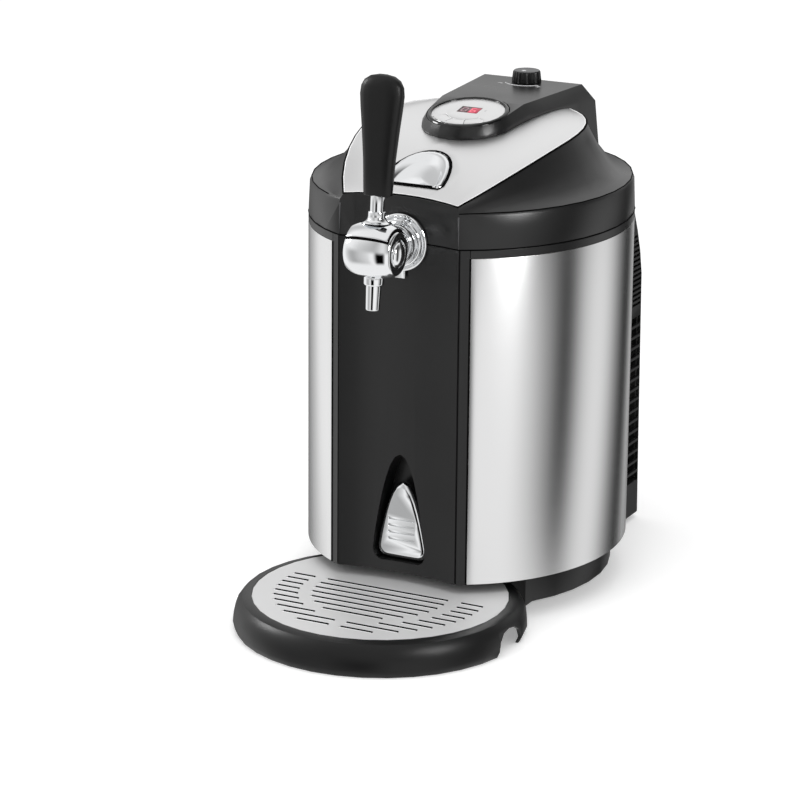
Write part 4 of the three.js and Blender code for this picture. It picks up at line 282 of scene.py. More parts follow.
# %% Chrome, display and plain materials
WIPED_SCALE = 60
WIPED_GLOSS = (0.045, 0.085)
FLICKER_SCALE = 4000
FLICKER_GLOSS = (0.35, 0.45)
SPECK_SCALE = 1200
SPECK_DARKER = 0.9
SPECK_RELIEF = 0.3


def polished_chrome():
    finish, tree, shader = new_finish("chrome", (0.86, 0.87, 0.88), 0.06, metallic=1.0)
    wiped = noise(tree, WIPED_SCALE, detail=4.0)
    tree.links.new(spread(tree, wiped, *WIPED_GLOSS), shader.inputs["Roughness"])
    return finish


def glowing_red():
    finish, tree, shader = new_finish("red_digits", (0.6, 0.1, 0.14), 0.4)
    glow(shader, (1.0, 0.2, 0.28), 0.5)
    flicker = noise(tree, FLICKER_SCALE)
    tree.links.new(spread(tree, flicker, *FLICKER_GLOSS), shader.inputs["Roughness"])
    return finish


def plain(name, color, roughness, depth=0.00005):
    finish, tree, shader = new_finish(name, color, roughness)
    spots = noise(tree, SPECK_SCALE)
    dark = tuple(c * SPECK_DARKER for c in color)
    tree.links.new(shade(tree, spots, dark, color), shader.inputs["Base Color"])
    grain(tree, shader, spots, depth, SPECK_RELIEF)
    return finish


chrome = polished_chrome()
red_digits = glowing_red()
smoked_window = plain("smoked_window", (0.05, 0.006, 0.008), 0.1, 0.000005)
# This grey is the colour of the printed marks; on the thin beads down the lid's front corners it stands for
# a painted highlight.
print_and_highlight_grey = plain("print_and_highlight_grey", (0.11, 0.11, 0.115), 0.45)
printed_white = plain("printed_white", (0.72, 0.72, 0.73), 0.4)
foam = plain("foam", (0.82, 0.8, 0.74), 0.9, 0.0004)
board_green = plain("board_green", (0.04, 0.2, 0.08), 0.45)
pale_ceramic = plain("pale_ceramic", (0.8, 0.79, 0.76), 0.6)
pale_liner = plain("pale_liner", (0.78, 0.78, 0.77), 0.4)
print("finishes:", len(bpy.data.materials))

# %% [markdown]
# The record names a slot for every node. Each node gets its slot's finish, so that the ones that stay as
# the CAD made them, such as the heat sink and the feet, are dressed too.

# %% A finish for every node
slot_finish = {
    "black_plastic": satin_black,
    "gloss_black": shiny_black,
    "brushed_steel": panel_steel,
    "silver_paint": silver,
    "chrome": chrome,
    "rubber": rubber,
    "foam": foam,
    "aluminium": cast_aluminium,
    "circuit_board": board_green,
    "window": smoked_window,
    "white_plastic": pale_liner,
    "ceramic": pale_ceramic,
    "brass": turned_brass,
    "plain_steel": plain_steel,
}
for node, obj in nodes.items():
    obj.data.materials.clear()
    obj.data.materials.append(slot_finish[slot_of[node]])
print("slots in use:", sorted(set(slot_of.values())))

# %% [markdown]
# ## Softened copies
# A moulding never has a razor edge, and a pressed panel isn't made of facets. Where the CAD node's shape
# is already right, a copy of its mesh is merged into one skin, its flat facets are dissolved into whole
# faces, its sharp edges are rounded by a Bevel modifier, and the rest is shaded smooth. The CAD node
# stays hidden behind it for physics.

# %% Copying a node and rounding its edges
MERGE = 0.00001
LEVEL_WITHIN = math.radians(0.4)


def merged_copy(node):
    """Copies a node, also a hidden one, as one skin of whole faces, still in edit mode."""
    source = nodes[node]
    hidden = source.hide_viewport
    source.hide_viewport = False
    pick(source)
    bpy.ops.object.duplicate()
    copy = bpy.context.object
    copy.parent = None
    copy.hide_render = False
    source.hide_viewport = hidden
    bpy.ops.object.mode_set(mode="EDIT")
    bpy.ops.mesh.select_all(action="SELECT")
    bpy.ops.mesh.remove_doubles(threshold=MERGE)
    bpy.ops.mesh.dissolve_limited(angle_limit=LEVEL_WITHIN)
    return copy


def softened(node, finish, edge=0.5, sharp=34, even=False):
    """Rounds edges sharper than `sharp` degrees by `edge` mm. `even` keeps flat faces looking flat."""
    copy = merged_copy(node)
    bpy.ops.object.mode_set(mode="OBJECT")
    if copy.data.has_custom_normals:
        bpy.ops.mesh.customdata_custom_splitnormals_clear()
    angle = math.radians(sharp)
    if edge:
        shaped(copy, "BEVEL", width=edge * MM, segments=2, limit_method="ANGLE", angle_limit=angle)
    bpy.ops.object.shade_smooth_by_angle(angle=angle)
    if even:
        shaped(copy, "WEIGHTED_NORMAL", keep_sharp=True)
    return hand_over(copy, node + "_finish", finish, body_of[node], slot_of[node], node)


for node in ("steel_panel_left", "steel_panel_right"):
    softened(node, panel_steel, edge=0.25)
for node in ("rim_frame", "front_panel", "control_housing", "rear_housing"):
    softened(node, satin_black, even=True)
softened("lid_shell", satin_black)
for node in ("base", "drip_tray"):
    softened(node, grained_black, edge=0.6)
softened("drip_grid", grid_steel, even=True)
softened("lid_plate", silver, edge=0.3)
for node in ("control_disc", "button_down", "button_light", "button_up"):
    softened(node, silver, edge=0.12)
softened("control_bezel", shiny_black, edge=0.3)
softened("display_window", smoked_window, edge=0.2)
softened("pressure_knob", smooth_black, edge=0.25, sharp=25)
softened("release_button", chrome, edge=0.3, sharp=60)
softened("tray_catch", chrome, edge=0.25, sharp=40)
softened("tap_handle", handle_black, sharp=50)
for node in ("keg_well", "gas_cartridge", "cartridge_sleeve", "keg_coupler", "fan_frame", "hinge_pin"):
    softened(node, slot_finish[slot_of[node]], edge=0)
for node in ("lid_liner", "lid_gasket", "mains_inlet", "mains_switch", "regulator_body"):
    softened(node, slot_finish[slot_of[node]], edge=0.3)

# %% [markdown]
# ## The tap
# The tap is turned and cast metal under bright chrome, and chrome shows every facet. Its pieces are
# therefore made afresh with fine roundness. A turned piece could come from a spun outline. Here a disc is
# extruded from station to station and resized to each radius, as a lathe's cuts would leave it, which
# keeps every station easy to read.

# %% A turned piece
SMOOTH_CUT = 32
SMOOTH_CAST = 40
SMOOTH_WIRE = 60


def turned(stations, sides=72):
    """Stations are (radius, place along Z) in millimetres, from one end to the other."""
    last_radius, place = stations[0]
    drop_all()
    bpy.ops.mesh.primitive_circle_add(
        vertices=sides, radius=last_radius * MM, fill_type="NGON", location=(0, 0, 0)
    )
    piece = bpy.context.object
    bpy.ops.object.mode_set(mode="EDIT")
    bpy.ops.mesh.select_all(action="SELECT")
    bpy.ops.transform.translate(value=(0, 0, place * MM))
    for radius, height in stations[1:]:
        bpy.ops.mesh.extrude_region_move(
            TRANSFORM_OT_translate={"value": (0, 0, (height - place) * MM)}
        )
        ratio = radius / last_radius
        bpy.ops.transform.resize(value=(ratio, ratio, 1), center_override=(0, 0, height * MM))
        last_radius, place = radius, height
    bpy.ops.mesh.select_all(action="SELECT")
    bpy.ops.mesh.normals_make_consistent(inside=False)
    bpy.ops.object.mode_set(mode="OBJECT")
    return piece


def laid(piece, turn, place):
    """Turns a piece from Z to where it belongs, moves it there and settles it."""
    piece.rotation_euler = turn
    piece.location = place
    return settle(piece)


def polished(piece, angle=SMOOTH_CUT):
    pick(piece)
    bpy.ops.object.shade_smooth_by_angle(angle=math.radians(angle))
    return piece


TAP_LEAN = math.radians(4.8)
pivot = Vector(joints["tap_pivot"]["pos_m"])
upright = (-TAP_LEAN, 0, 0)
hanging = (math.pi - TAP_LEAN, 0, 0)
sideways = (0, math.pi / 2, 0)
forwards = (math.pi / 2, 0, 0)
level = (0, 0, 0)
print("the tap turns about", [round(v, 4) for v in pivot])

# %% [markdown]
# The barrel is a short fat drum whose sides curve in towards both ends, like a cushion. A superellipse
# gives that curve: its power says how square the drum is. A groove near each end holds the cap.

# %% The barrel
BARREL_RADIUS = 22.3
BARREL_HALF = 27.5
BARREL_POWER = 2.7
BARREL_END = 20.5
BARREL_STEPS = 14
CAP_RADIUS = 11.2


def barrel_radius(place):
    return BARREL_RADIUS * (1 - abs(place / BARREL_HALF) ** BARREL_POWER) ** (1 / BARREL_POWER)


def drum(half, grow):
    """Stations along the barrel between two ends, denser where it curves more."""
    places = [half * math.sin(math.pi * (i / BARREL_STEPS - 0.5)) for i in range(BARREL_STEPS + 1)]
    return [(barrel_radius(place) + grow, place) for place in places]


end_radius = barrel_radius(BARREL_END)
end_face = [
    (end_radius - 0.5, 0.35),
    (end_radius - 1.2, 0.5),
    (CAP_RADIUS + 1.4, 0.9),
    (CAP_RADIUS + 0.9, 0.7),
    (CAP_RADIUS + 0.4, -0.6),
    (1.0, -0.6),
]
right_end = [(radius, BARREL_END + out) for radius, out in end_face]
left_end = [(radius, -place) for radius, place in reversed(right_end)]
barrel = turned(left_end + drum(BARREL_END, 0) + right_end, sides=96)
polished(laid(barrel, sideways, pivot), SMOOTH_CAST)
hand_over(barrel, "tap_barrel", chrome, body_of["tap_body"], "chrome", "tap_body")
print("barrel radius at its ends:", round(end_radius, 2))

# %% [markdown]
# A domed cap closes each end of the barrel. Its middle is a shallow dome inside a narrow step, and the
# dome's stations are taken at equal turns of a quarter circle, so that the mirror on it stays even.

# %% The end caps
CAP_DOME = 4.4
DOME_EDGE = CAP_RADIUS - 1.1
DOME_FOOT = 0.4
dome_turns = [math.radians(degrees) for degrees in (0, 12, 24, 36, 48, 60, 72, 84)]
cap_stations = [(CAP_RADIUS, -1.5), (CAP_RADIUS, 0.3), (CAP_RADIUS - 0.4, 0.6), (CAP_RADIUS - 0.8, 0.4)]
cap_stations += [(DOME_EDGE * math.cos(t), DOME_FOOT + CAP_DOME * math.sin(t)) for t in dome_turns]
for side, node in ((1, "tap_cap_right"), (-1, "tap_cap_left")):
    cap = turned(cap_stations)
    polished(laid(cap, (0, side * math.pi / 2, 0), pivot + Vector((side * BARREL_END * MM, 0, 0))))
    hand_over(cap, node + "_dome", chrome, body_of[node], "chrome", node)
print("caps stand", CAP_DOME + DOME_FOOT, "mm out of the barrel's ends")

# %% [markdown]
# The saddle turns with the handle and covers the slot that its stem moves in. It starts as a drum, a
# little larger than the barrel. Two bisecting planes through the barrel's axis leave its upper part, the
# end faces go, and Solidify gives the sheet its wall. A thinner near-black sheet of the same kind, which
# reaches a little further, is a painted shadow that shows as a dark line under the saddle's lip.

# %% The saddle and its painted shadow
SADDLE_STANDS_OFF = 2.3
SADDLE_HALF = 19
SADDLE_FRONT = 54
SADDLE_REAR = 32
SHADOW_STANDS_OFF = 1.2
SHADOW_WIDER = 0.9
SHADOW_PAST = 3.6
AIR_UNDER = 0.4
FACES_SIDEWAYS = 0.99
LIP_LEAST = math.radians(50)


def sheet_over_barrel(half, stands_off, front, rear, lip):
    """The top of a drum, from `front` to `rear` degrees on either side of its highest line."""
    sheet = turned(drum(half, stands_off), sides=120)
    laid(sheet, sideways, (0, 0, 0))
    pick(sheet)
    bpy.ops.object.mode_set(mode="EDIT")
    for turn, sense in ((front, 1), (-rear, -1)):
        angle = math.radians(turn)
        bpy.ops.mesh.select_all(action="SELECT")
        bpy.ops.mesh.bisect(
            plane_co=(0, 0, 0),
            plane_no=(0, sense * math.cos(angle), sense * math.sin(angle)),
            clear_inner=True,
        )
    bpy.ops.mesh.select_all(action="DESELECT")
    bpy.ops.object.mode_set(mode="OBJECT")
    for face in sheet.data.polygons:
        face.select = abs(face.normal.x) > FACES_SIDEWAYS
    bpy.ops.object.mode_set(mode="EDIT")
    bpy.ops.mesh.delete(type="FACE")
    bpy.ops.object.mode_set(mode="OBJECT")
    shaped(sheet, "SOLIDIFY", thickness=(stands_off - AIR_UNDER) * MM, offset=-1)
    shaped(sheet, "BEVEL", width=lip * MM, segments=3, angle_limit=LIP_LEAST)
    return polished(laid(sheet, upright, pivot), SMOOTH_CAST)


saddle = sheet_over_barrel(SADDLE_HALF, SADDLE_STANDS_OFF, SADDLE_FRONT, SADDLE_REAR, 0.7)
hand_over(saddle, "lever_saddle", chrome, body_of["lever_hub"], "chrome", "lever_hub")
# A near-black sheet just under the saddle's lip: a painted shadow.
saddle_shadow = sheet_over_barrel(
    SADDLE_HALF + SHADOW_WIDER, SHADOW_STANDS_OFF, SADDLE_FRONT + SHADOW_PAST, SADDLE_REAR + SHADOW_PAST, 0.3
)
hand_over(saddle_shadow, "lever_saddle_shadow", painted_shade_black, body_of["lever_hub"], "rubber")
print("saddle faces:", len(saddle.data.polygons), "seal faces:", len(saddle_shadow.data.polygons))

# %% [markdown]
# A neck rises out of the saddle in a smooth flare, as a casting does, and the thinner stem comes out of
# its flat top and goes up into the handle. The flare is a quarter of an ellipse, taken in seven steps.

# %% The neck and the stem
NECK_RADIUS = 7.3
NECK_TOP = 33
NECK_FLARE = 5.5
FLARE_STEPS = 7
STEM_RADIUS = 5.85
STEM_INTO_NECK = 3
STEM_INTO_HANDLE = 1.5

foot = BARREL_RADIUS + SADDLE_STANDS_OFF - 0.6
neck_stations = [
    (
        NECK_RADIUS + NECK_FLARE * (1 - math.sin(math.pi / 2 * i / FLARE_STEPS)),
        foot + NECK_FLARE * (1 - math.cos(math.pi / 2 * i / FLARE_STEPS)),
    )
    for i in range(FLARE_STEPS + 1)
]
neck_stations += [(NECK_RADIUS, NECK_TOP - 0.7), (NECK_RADIUS - 0.2, NECK_TOP - 0.2)]
neck_stations += [(NECK_RADIUS - 0.7, NECK_TOP), (STEM_RADIUS - 0.2, NECK_TOP)]
neck = polished(laid(turned(neck_stations), upright, pivot), SMOOTH_CAST)
hand_over(neck, "lever_neck", chrome, body_of["lever_hub"], "chrome")

handle_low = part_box("tap_handle")[0].z - pivot.z
stem_top = handle_low / MM + STEM_INTO_HANDLE
stem = turned([(STEM_RADIUS, NECK_TOP - STEM_INTO_NECK), (STEM_RADIUS, stem_top)])
pick(stem)
shaped(stem, "BEVEL", width=0.3 * MM, segments=2)
polished(laid(stem, upright, pivot))
hand_over(stem, "lever_stem_rod", chrome, body_of["lever_stem"], "chrome", "lever_stem")
print("the stem ends", round(stem_top, 1), "mm above the pivot")

# %% [markdown]
# The spout hangs under the barrel in a thick ring and tapers a little to its open end. Its bore is closed
# a short way up, where no eye reaches.

# %% The spout
SPOUT_RING = 8.5
SPOUT_RING_LOW = 28
SPOUT_RADIUS = 6.35
SPOUT_TIP_RADIUS = 5.9
SPOUT_TIP = 48.8
SPOUT_BORE = 4.4
spout_stations = [
    (SPOUT_RING - 0.8, SPOUT_RING_LOW - 9),
    (SPOUT_RING, SPOUT_RING_LOW - 6.8),
    (SPOUT_RING, SPOUT_RING_LOW - 1.4),
    (SPOUT_RING - 0.4, SPOUT_RING_LOW - 0.5),
    (SPOUT_RING - 1.1, SPOUT_RING_LOW),
    (SPOUT_RADIUS, SPOUT_RING_LOW + 0.2),
    (SPOUT_RADIUS, SPOUT_RING_LOW + 3),
    (SPOUT_TIP_RADIUS, SPOUT_TIP - 1),
    (SPOUT_TIP_RADIUS - 0.2, SPOUT_TIP - 0.3),
    (SPOUT_TIP_RADIUS - 0.6, SPOUT_TIP),
    (SPOUT_BORE + 0.3, SPOUT_TIP),
    (SPOUT_BORE, SPOUT_TIP - 0.4),
    (SPOUT_BORE, SPOUT_TIP - 12),
]
spout = polished(laid(turned(spout_stations), hanging, pivot), SMOOTH_CAST)
hand_over(spout, "spout", chrome, body_of["tap_spout"], "chrome", "tap_spout")
print("spout reaches", SPOUT_TIP, "mm below the pivot")

# %% [markdown]
# The flange covers the hole in the lid's front. It has a rounded rim and two collars that step down to
# the shank, which runs forwards into the back of the barrel. Both are turned about the shank's own axis.

# %% The flange and the shank
FLANGE_RADIUS = 24.6
OUTER_COLLAR = 20.4
INNER_COLLAR = 17
flange_low, flange_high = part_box("tap_flange")
flange_back = Vector((0, flange_high.y, middle_of("tap_shank").z))
flange_stations = [
    (FLANGE_RADIUS - 0.6, 0),
    (FLANGE_RADIUS, 0.4),
    (FLANGE_RADIUS, 1.9),
    (FLANGE_RADIUS - 0.4, 2.8),
    (FLANGE_RADIUS - 1.2, 3.4),
    (FLANGE_RADIUS - 2.3, 3.5),
    (FLANGE_RADIUS - 3.0, 3.1),
    (OUTER_COLLAR + 0.2, 2.7),
    (OUTER_COLLAR, 3.0),
    (OUTER_COLLAR, 5.2),
    (OUTER_COLLAR - 0.4, 5.9),
    (OUTER_COLLAR - 1.2, 6.3),
    (INNER_COLLAR + 0.2, 6.4),
    (INNER_COLLAR - 0.1, 6.2),
    (INNER_COLLAR - 0.1, 5.0),
]
flange = polished(laid(turned(flange_stations, sides=96), forwards, flange_back), SMOOTH_CAST)
hand_over(flange, "flange_disc", chrome, body_of["tap_flange"], "chrome", "tap_flange")

reach = (flange_high.y - pivot.y) / MM
barrel_back = reach - BARREL_RADIUS
shank_stations = [
    (INNER_COLLAR, 4),
    (INNER_COLLAR, 11.2),
    (INNER_COLLAR - 0.4, 11.8),
    (INNER_COLLAR - 1.1, 12),
    (INNER_COLLAR - 1.3, 13.2),
    (INNER_COLLAR - 0.6, 13.4),
    (INNER_COLLAR - 0.4, 14),
    (INNER_COLLAR - 0.4, barrel_back - 1),
    (INNER_COLLAR - 1.2, barrel_back + 6),
    (INNER_COLLAR - 4, barrel_back + 9),
]
shank = polished(laid(turned(shank_stations), forwards, flange_back), SMOOTH_CAST)
hand_over(shank, "shank_collar", chrome, body_of["tap_shank"], "chrome", "tap_shank")
print("flange at", [round(v, 4) for v in flange_back], "shank reach", round(reach, 1))

# %% [markdown]
# A small lug under the flange keeps it from turning. It is a block with rounded corners, flush with the
# flange's back and its lowest point.

# %% The lug under the flange
LUG = (10, 3, 8)
lug_place = Vector((0, flange_high.y - LUG[1] / 2 * MM, flange_low.z + LUG[2] / 2 * MM))
drop_all()
bpy.ops.mesh.primitive_cube_add(size=1, location=lug_place, scale=[side * MM for side in LUG])
lug = shaped(settle(bpy.context.object), "BEVEL", width=0.8 * MM, segments=3)
hand_over(polished(lug), "flange_lug", chrome, body_of["tap_flange"], "chrome")
print("lug at", [round(v, 4) for v in lug_place])

# %% [markdown]
# ## Painted shade in seams, painted highlights on edges
# Where two mouldings meet, the shade in the gap is painted as a near-black tube, and the silver plate's
# thin polished edge gets a pale glowing tube, a painted highlight.
# Both follow edges that the CAD nodes already have. A merged copy of the node keeps only the edges that
# are told apart by their place and by the faces beside them, and these are turned into a thin tube.

# %% A tube along selected edges
WIRE_MERGE = 0.000005
NEARNESS = 0.3
STEEP = math.radians(50)


def wired(line, name, radius, finish, body, slot, lower=0.0):
    """Turns an object of bare edges into round wire with closed ends, `lower` mm below them."""
    pick(line)
    bpy.ops.object.convert(target="CURVE")
    line = bpy.context.object
    line.data.bevel_depth = radius * MM
    line.data.bevel_resolution = 2
    line.data.use_fill_caps = True
    bpy.ops.object.convert(target="MESH")
    line = bpy.context.object
    bpy.ops.object.mode_set(mode="EDIT")
    bpy.ops.mesh.select_all(action="SELECT")
    bpy.ops.mesh.remove_doubles(threshold=WIRE_MERGE)
    bpy.ops.mesh.normals_make_consistent(inside=False)
    bpy.ops.transform.translate(value=(0, 0, -lower * MM))
    bpy.ops.object.mode_set(mode="OBJECT")
    polished(line, SMOOTH_WIRE)
    print(name, "faces:", len(line.data.polygons))
    return hand_over(line, name, finish, body, slot)


def tube_along(node, chosen, name, radius, finish, slot, lower=0.0, grow=(1, 1, 1)):
    """`chosen` gets an edge's two ends and the normals of its two faces, and says whether to keep it."""
    line = merged_copy(node)
    bpy.ops.mesh.select_all(action="DESELECT")
    bpy.ops.mesh.select_mode(type="EDGE")
    bpy.ops.object.mode_set(mode="OBJECT")
    normals = {}
    for face in line.data.polygons:
        for key in face.edge_keys:
            normals.setdefault(key, []).append(face.normal.copy())
    for edge in line.data.edges:
        sides = normals.get(tuple(sorted(edge.vertices)), [])
        ends = [line.data.vertices[i].co for i in edge.vertices]
        edge.select = not (len(sides) == 2 and chosen(ends, sides))
    bpy.ops.object.mode_set(mode="EDIT")
    bpy.ops.mesh.delete(type="EDGE")
    bpy.ops.mesh.select_all(action="SELECT")
    bpy.ops.mesh.delete(type="ONLY_FACE")
    bpy.ops.mesh.select_mode(type="VERT")
    bpy.ops.mesh.select_all(action="SELECT")
    bpy.ops.transform.resize(value=grow, center_override=middle_of(node))
    bpy.ops.object.mode_set(mode="OBJECT")
    return wired(line, name, radius, finish, body_of[node], slot, lower)


def steep(sides):
    return sides[0].angle(sides[1]) > STEEP


def near(value, aim, within=NEARNESS):
    return abs(value / MM - aim) < within


def rise(ends):
    return abs(ends[0].z - ends[1].z)


print("edges are found within", NEARNESS, "mm of where they should be")

# %% [markdown]
# The shade in the gap where the lid closes on the rim is painted as a near-black tube, and so is the shade
# in the crease that runs round it where its wall turns into the shoulder. Its two front corners get thin
# grey tubes, a painted highlight. Each edge is told from the others by its height and by which way its two
# faces
# look: at the lid's foot one face looks outwards and the other down.

# %% Painted shade in the lid's joint and crease, painted highlights on its corners
LID_BOTTOM = 328.6
FOLD = 358.6
LID_MIDDLE = 0.06
FRONT_WALL = -94.1
LOOKS_LEVEL = 0.3
LOOKS_UP = 0.9
SHOULDER_TILT = (0.05, 0.7)
CORNER_HEIGHT = 20


def under_lid(ends, sides):
    middle, end = Vector((0, LID_MIDDLE)), ends[0]
    outward = [n for n in sides if abs(n.z) < LOOKS_LEVEL and n.xy.dot(end.xy - middle) > 0]
    at_foot = all(near(end.z, LID_BOTTOM) for end in ends)
    return at_foot and outward and min(n.z for n in sides) < -LOOKS_UP


def on_fold(ends, sides):
    tilts = sorted(n.z for n in sides)
    at_fold = all(near(end.z, FOLD) for end in ends)
    return at_fold and SHOULDER_TILT[0] < tilts[0] < SHOULDER_TILT[1] and tilts[1] > LOOKS_UP


def front_corner(ends, sides):
    return rise(ends) > CORNER_HEIGHT * MM and all(near(end.y, FRONT_WALL, 1) for end in ends)


# Near-black tubes in the lid's joint and along its crease: painted shade.
tube_along("lid_shell", under_lid, "lid_gap_shade", 0.5, painted_shade_black, "black_plastic", lower=0.4)
tube_along("lid_shell", on_fold, "fold_shade_line", 0.5, painted_shade_black, "black_plastic")
# Grey beads down the lid's front corners: a painted highlight.
tube_along("lid_shell", front_corner, "corner_highlight_beads", 0.35, print_and_highlight_grey, "black_plastic")

# %% [markdown]
# Each steel side ends in a straight upright edge beside the black front panel. A thicker near-black tube
# along it is painted shade in the gap between the two.

# %% Painted shade in the gap beside the steel
STEEL_FRONT = 64.0
STEEL_LEAST = 100


def steel_front(ends, sides):
    at_front = all(near(abs(end.x), STEEL_FRONT, 0.2) for end in ends)
    return rise(ends) > STEEL_LEAST * MM and steep(sides) and at_front


# A near-black tube beside each steel side: painted shade in the gap.
for side in ("left", "right"):
    tube_along("steel_panel_" + side, steel_front, side + "_steel_gap_shade", 0.8, painted_shade_black, "black_plastic")

# %% [markdown]
# The silver plate has a polished edge, drawn as a pale tube that glows a little: a painted highlight. The
# plate lies in a groove of the lid, and its opening for the release button has a groove too; the shade in
# both is painted as near-black tubes. Outline and opening are both sharp edges of the plate's upper face,
# so the opening is told from the outline by the box that the button stands in. The shaded groove is the
# same outline, grown a little from its middle.

# %% The plate's painted edge highlight and the painted shade outside it
BUTTON_REAR = -0.022
BUTTON_FRONT = -0.076
BUTTON_SIDE = 0.03
PLATE_REAR = 0.1434
UPPER_FACE = 0.7
CUT_FACE = 0.999
OUTWARDS = (1.013, 1.011, 1)


def round_button(end):
    return abs(end.x) < BUTTON_SIDE and BUTTON_FRONT < end.y < BUTTON_REAR


def upper_rim(sides):
    return steep(sides) and max(n.z for n in sides) > UPPER_FACE


def plate_outline(ends, sides):
    outer = not any(round_button(end) for end in ends) and min(abs(n.y) for n in sides) < CUT_FACE
    return outer and upper_rim(sides) and ends[0].y < PLATE_REAR


def button_opening(ends, sides):
    return all(round_button(end) for end in ends) and upper_rim(sides)


# The glowing tube on the plate's edge is a painted highlight; the near-black tubes outside it and round the
# button's opening are painted shade.
tube_along("lid_plate", plate_outline, "plate_edge_highlight", 0.42, glowing_edge_highlight, "silver_paint")
tube_along("lid_plate", plate_outline, "plate_groove_shade", 0.75, painted_shade_black, "silver_paint", 0.6, OUTWARDS)
tube_along("lid_plate", button_opening, "button_gap_shade", 0.95, painted_shade_black, "silver_paint", lower=0.35)

# %% [markdown]
# The slots of the drip grid are pressed, so that the sheet rolls over at their edges. Seen from the front,
# the near edge of each slot gets a pale tube that glows a little, a painted highlight, and the far edge a
# near-black tube, a painted shadow, which is what makes the slots read as holes.

# %% Painted highlights and shadows on the edges of the grid's slots
GRID_REAR = -0.05
GRID_FRONT = -0.222
GRID_SIDE = 0.1
LOOKS_ALONG = 0.95


def slot_front(ends, sides):
    looks_back = max(n.z for n in sides) > LOOKS_UP and max(n.y for n in sides) > LOOKS_ALONG
    return ends[0].y < GRID_REAR and looks_back


def slot_rear(ends, sides):
    inside = all(abs(end.x) < GRID_SIDE for end in ends) and ends[0].y > GRID_FRONT
    return inside and max(n.z for n in sides) > LOOKS_UP and min(n.y for n in sides) < -LOOKS_ALONG


# Glowing tubes on the slots' near edges are painted highlights; near-black tubes on their far edges are
# painted shadows.
tube_along("drip_grid", slot_front, "slot_highlights", 0.32, glowing_edge_highlight, "brushed_steel", lower=0.1)
tube_along("drip_grid", slot_rear, "slot_shadows", 0.75, painted_shade_black, "brushed_steel", lower=0.5)

# %% [markdown]
# ## Marks, digits and the dial
# The marks are printed on the plastic and the digits shine through the smoked window. Each is a thin
# solid a tenth of a millimetre proud, so it needs no picture. They are drawn flat round the world's
# origin in millimetres and then laid on the tilted disc.

# %% Flat pieces
DISC_TILT = math.radians(9.8)
DISC_CENTRE = Vector((0, 36.3, 414.6)) * MM


def slab(size, place, corner=0.1):
    drop_all()
    bpy.ops.mesh.primitive_cube_add(size=1, scale=[side * MM for side in size])
    block = bpy.context.object
    block.location = [value * MM for value in place]
    shaped(settle(block), "BEVEL", width=corner * MM, segments=2)
    return polished(block, SMOOTH_CAST)


def joined(pieces):
    pick(pieces[0])
    for piece in pieces[1:]:
        piece.select_set(True)
    if len(pieces) > 1:
        bpy.ops.object.join()
    return bpy.context.object


def arc(radius, start, end, steps=180):
    """Bare edges on part of a circle, in degrees counter-clockwise from +X."""
    drop_all()
    bpy.ops.mesh.primitive_circle_add(vertices=steps, radius=radius * MM)
    line = bpy.context.object
    bpy.ops.object.mode_set(mode="EDIT")
    bpy.ops.mesh.select_all(action="DESELECT")
    bpy.ops.mesh.select_mode(type="VERT")
    bpy.ops.object.mode_set(mode="OBJECT")
    for point in line.data.vertices:
        turn = math.degrees(math.atan2(point.co.y, point.co.x)) - start
        point.select = turn % 360 > (end - start)
    bpy.ops.object.mode_set(mode="EDIT")
    bpy.ops.mesh.delete(type="VERT")
    bpy.ops.object.mode_set(mode="OBJECT")
    return line


def on_disc(piece):
    return laid(piece, (DISC_TILT, 0, 0), DISC_CENTRE)


print("disc at", [round(v, 4) for v in DISC_CENTRE], "tilted", round(math.degrees(DISC_TILT), 1), "degrees")

# %% [markdown]
# A seven-segment digit is one bar used up to seven times. The bar starts as a flat hexagon whose upper
# and lower points are drawn apart, which gives the pointed ends of a real segment. Each digit says which
# one of its segments stays dark.

# %% A segment and a digit
SEGMENT_WIDTH = 1.1
SEGMENT_LENGTH = 3.7
SEGMENT_HEIGHT = 0.15
DIGIT_WIDTH = 4.2
DIGIT_HEIGHT = 8.0
WINDOW_MIDDLE = 3.0
WINDOW_TOP = 0.3
SEGMENT_PLACES = {
    "top": (0, 0.5, True),
    "middle": (0, 0, True),
    "bottom": (0, -0.5, True),
    "upper_left": (-0.5, 0.25, False),
    "upper_right": (0.5, 0.25, False),
    "lower_left": (-0.5, -0.25, False),
    "lower_right": (0.5, -0.25, False),
}


def segment():
    drop_all()
    radius = SEGMENT_WIDTH / math.sqrt(3)
    bpy.ops.mesh.primitive_circle_add(vertices=6, radius=radius * MM, fill_type="NGON")
    bar = bpy.context.object
    bpy.ops.object.mode_set(mode="EDIT")
    bpy.ops.mesh.select_all(action="DESELECT")
    bpy.ops.mesh.select_mode(type="VERT")
    for sense in (1, -1):
        bpy.ops.object.mode_set(mode="OBJECT")
        for point in bar.data.vertices:
            point.select = point.co.y * sense > 0
        bpy.ops.object.mode_set(mode="EDIT")
        bpy.ops.transform.translate(value=(0, sense * (SEGMENT_LENGTH / 2 - radius) * MM, 0))
        bpy.ops.mesh.select_all(action="DESELECT")
    bpy.ops.mesh.select_all(action="SELECT")
    bpy.ops.mesh.extrude_region_move(TRANSFORM_OT_translate={"value": (0, 0, SEGMENT_HEIGHT * MM)})
    bpy.ops.mesh.select_all(action="SELECT")
    bpy.ops.mesh.normals_make_consistent(inside=False)
    bpy.ops.object.mode_set(mode="OBJECT")
    return bar


